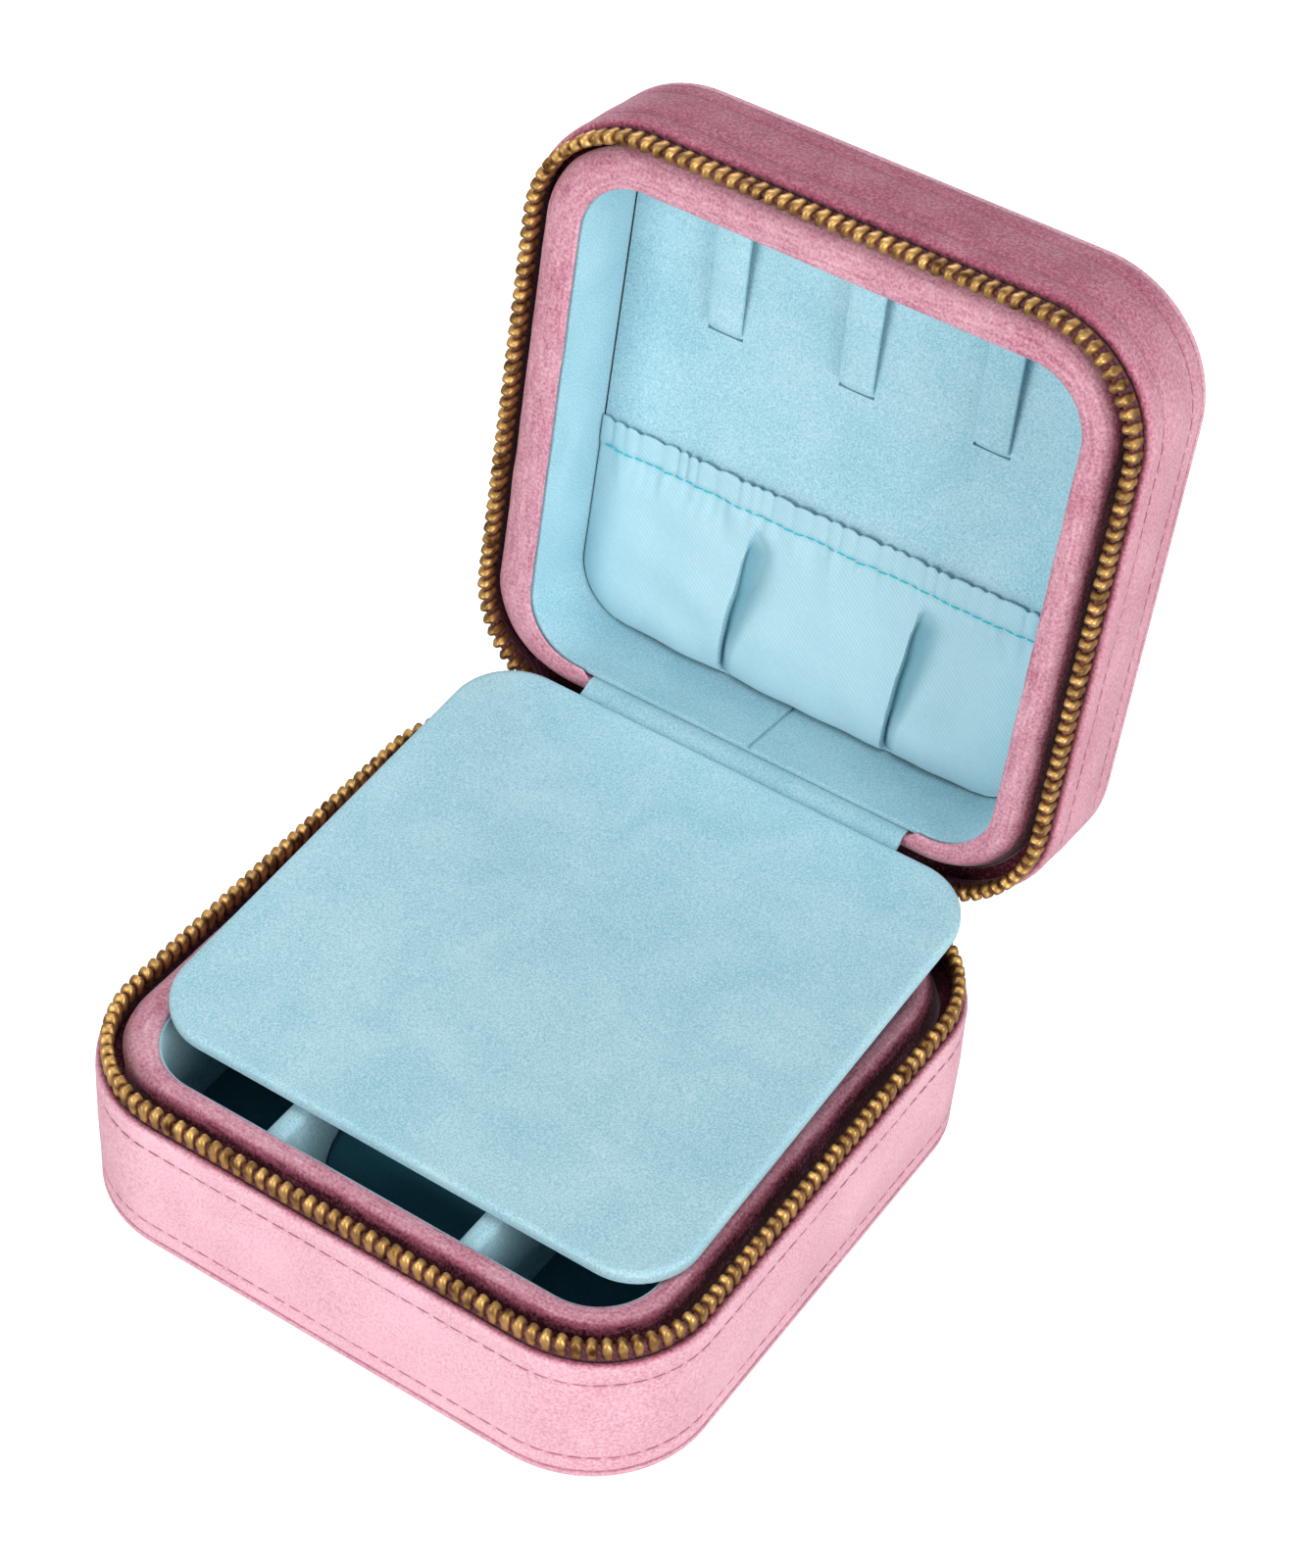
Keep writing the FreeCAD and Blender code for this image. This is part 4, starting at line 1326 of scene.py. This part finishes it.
# %% [markdown]
# One strip of suede hangs the flap on the lid. It is sewn under the flap's rear edge, shows as a narrow band,
# and is tucked between the lid's collar and its lining. The strip is drawn bent across the flap's joint at
# rest, from the flap's hinge to the lid, and stays where it is drawn.

# %% Flap hinge strip
HINGE_STRIP_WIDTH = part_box("flap_hinge_roll")[1].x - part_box("flap_hinge_roll")[0].x
HINGE_STRIP_SHADE = 0.2
STRIP_HALF = 0.22
STRIP_CELLS = 24
TUCK_IN = 0.3


def strip(width, outer, inner):
    """A band along X through two rows of (y, z) points, closed all round."""
    bm = bmesh.new()
    rows = len(outer) + len(inner)
    ends = bmesh.ops.create_circle(bm, cap_ends=False, segments=rows, radius=1.0)["verts"]
    for vert, (y, z) in zip(ends, list(outer) + list(reversed(inner))):
        vert.co = Vector((-width / 2, y * MM, z * MM))
    loop = bm.edges[:]
    bmesh.ops.contextual_create(bm, geom=loop)
    for _ in range(STRIP_CELLS):
        verts, loop = extruded(bm, loop)
        bmesh.ops.translate(bm, vec=(width / STRIP_CELLS, 0, 0), verts=list(verts))
    bmesh.ops.contextual_create(bm, geom=loop)
    bmesh.ops.recalc_face_normals(bm, faces=bm.faces)
    return bm


def opened_place(y, z):
    """A (y, z) place of the closed lid at its open rest, in millimetres."""
    turned = Matrix.Rotation(-OPEN, 3, "X") @ (Vector((0, y, z)) - HINGE / MM) + HINGE / MM
    return turned.y, turned.z


def from_pivot(points):
    """Places given from the flap's pivot, in millimetres of the frame."""
    return [(FLAP_PIVOT.y / MM + y, FLAP_PIVOT.z / MM + z) for y, z in points]


tuck_y = HALF - COLLAR_IN - TUCK_IN
tail_upper = [opened_place(tuck_y - STRIP_HALF, CLOSING + rise) for rise in (1.4, 2.4, 4.0, 6.4)]
tail_lower = [opened_place(tuck_y + STRIP_HALF, CLOSING + rise) for rise in (1.1, 2.4, 4.0, 6.4)]
upper = from_pivot([(-1.15, 0.55), (-0.3, 0.75), (0.6, 1.15)]) + tail_upper
lower = from_pivot([(-1.15, -0.55), (-0.1, -0.3), (0.9, 0.45)]) + tail_lower
bm = strip(HINGE_STRIP_WIDTH, upper, lower)
# The strip gets an even painted shade, darker than the flap.
paint_shading(bm, even_shade(HINGE_STRIP_SHADE))
hinge_strip = add_piece("suede_flap_hinge", bm, suede, None, ["flap_hinge_roll", "flap_hinge_tail"])
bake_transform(hinge_strip)

# %% [markdown]
# At the back there is no zip: a velvet spine carries the lid. At rest it turns the corner from the upright
# base to the lid that leans back. It is the same kind of strip, bent between the base and the lid.

# %% Velvet spine
SPINE_BENDS = 8
SPINE_RUN = (1.5, 3.2, 4.7)
bend_steps = [OPEN * i / SPINE_BENDS for i in range(SPINE_BENDS + 1)]
inside = HALF - COVER
outer = [(HALF, COVER_TOP), (HALF, COVER_TOP + 1.5), (HALF, CLOSING - 1.5), (HALF, CLOSING - 0.4)]
outer += [opened_place(HALF, CLOSING + rise) for rise in (0.4, *SPINE_RUN)]
inner = [(inside, COVER_TOP), (inside, COVER_TOP + 1.5), (inside, CLOSING - 1.5)]
inner += [(HALF - COVER * math.cos(turn), CLOSING + COVER * math.sin(turn)) for turn in bend_steps]
inner += [opened_place(inside, CLOSING + rise) for rise in SPINE_RUN]
bm = strip(2 * SPINE_HALF * MM, outer, inner)
# The spine gets the same painted light and shade as the base's wall.
paint_shading(bm, pale_all_round)
spine = add_piece("velvet_spine", bm, velvet, None, ["spine"])
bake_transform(spine)

# %% [markdown]
# The stage is a pale floor that keeps a soft shadow, under studio light from four large panels round the
# box. The world is plain white where the camera, glossy or clear rays meet it, and softer for lighting.

# %% World and floor
WORLD_LIGHT = 0.2
FLOOR_GLOW = 0.66
FLOOR_HALF = 3.0
WHITE = (1, 1, 1, 1)


def studio_world():
    """White for camera, glossy and transmission rays, and a softer even light for the rest."""
    world = bpy.data.worlds.new("studio")
    bpy.context.scene.world = world
    world.use_nodes = True
    tree = world.node_tree
    rays = node(tree, "ShaderNodeLightPath").outputs
    seen = rays["Is Camera Ray"]
    for ray in ("Is Glossy Ray", "Is Transmission Ray"):
        seen = node(tree, "ShaderNodeMath", {0: seen, 1: rays[ray]}, operation="MAXIMUM").outputs[0]
    level = node(tree, "ShaderNodeMapRange", {"Value": seen, 3: WORLD_LIGHT, 4: 1.0})
    tree.links.new(level.outputs[0], tree.nodes["Background"].inputs["Strength"])
    tree.nodes["Background"].inputs["Color"].default_value = WHITE


def pale_floor():
    """A wide white floor that keeps the shadow and glows a little for the camera."""
    bm = bmesh.new()
    bmesh.ops.create_grid(bm, x_segments=1, y_segments=1, size=FLOOR_HALF)
    mesh = finished_mesh("floor", bm)
    finish, tree, shader = new_finish("pale_floor", Roughness=0.9, Specular_IOR_Level=0.0,
                                      Base_Color=linear("#F4F3F2"), Emission_Color=WHITE)
    rays = node(tree, "ShaderNodeLightPath").outputs
    glow = node(tree, "ShaderNodeMath", {0: rays["Is Camera Ray"], 1: FLOOR_GLOW}, operation="MULTIPLY")
    tree.links.new(glow.outputs[0], shader.inputs["Emission Strength"])
    mesh.materials.append(finish)
    floor = bpy.data.objects.new("floor", mesh)
    bpy.context.scene.collection.objects.link(floor)
    floor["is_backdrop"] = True


studio_world()
pale_floor()
print("world light", WORLD_LIGHT, "floor glow", FLOOR_GLOW)

# %% Light panels and camera
LIGHT_AIM = Vector((0, 0.02, 0.05))
LIGHTS = {"key_panel": ((-0.2, -0.72, 0.36), 0.45, 4.1), "fill_panel": ((0.85, -0.2, 0.3), 0.45, 5.6),
          "top_panel": ((0.1, -0.1, 0.9), 0.4, 2.4), "back_panel": ((-0.35, 0.75, 0.5), 0.45, 2.4)}
CAMERA_PLACE = Vector((218.9, -342.7, 466.1)) * MM
CAMERA_AZIMUTH = math.radians(30.56)
CAMERA_ELEVATION = math.radians(43.4)
CAMERA_ROLL = math.radians(4.55)
CAMERA_LENS = 83.76
CAMERA_SENSOR = 36.0
CAMERA_NEAREST = 0.01


def light_panel(name, place, size, power):
    """A square soft box that faces the middle of the object."""
    lamp = bpy.data.lights.new(name, "AREA")
    lamp.size = size
    lamp.energy = power
    panel_object = bpy.data.objects.new(name, lamp)
    panel_object.location = place
    aim = LIGHT_AIM - Vector(place)
    panel_object.rotation_euler = aim.to_track_quat("-Z", "Y").to_euler()
    bpy.context.scene.collection.objects.link(panel_object)


def photo_camera():
    """The camera at the photograph's viewing angle."""
    level = math.cos(CAMERA_ELEVATION)
    back = Vector((math.sin(CAMERA_AZIMUTH) * level, -math.cos(CAMERA_AZIMUTH) * level,
                   math.sin(CAMERA_ELEVATION)))
    right = (-back).cross(Vector((0, 0, 1))).normalized()
    up = back.cross(right)
    rolled_right = right * math.cos(CAMERA_ROLL) + up * math.sin(CAMERA_ROLL)
    rolled_up = up * math.cos(CAMERA_ROLL) - right * math.sin(CAMERA_ROLL)
    camera = bpy.data.objects.new("camera", bpy.data.cameras.new("camera"))
    camera.data.lens = CAMERA_LENS
    camera.data.sensor_width = CAMERA_SENSOR
    camera.data.clip_start = CAMERA_NEAREST
    turn = Matrix((rolled_right, rolled_up, back)).transposed().to_4x4()
    camera.matrix_world = Matrix.Translation(CAMERA_PLACE) @ turn
    bpy.context.scene.collection.objects.link(camera)
    bpy.context.scene.camera = camera


for name, (place, size, power) in LIGHTS.items():
    light_panel(name, place, size, power)
photo_camera()
bpy.context.scene.view_settings.view_transform = "Standard"
print("lights", len(LIGHTS), "lens", CAMERA_LENS)

# %% Bounds of the finished object
low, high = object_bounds()
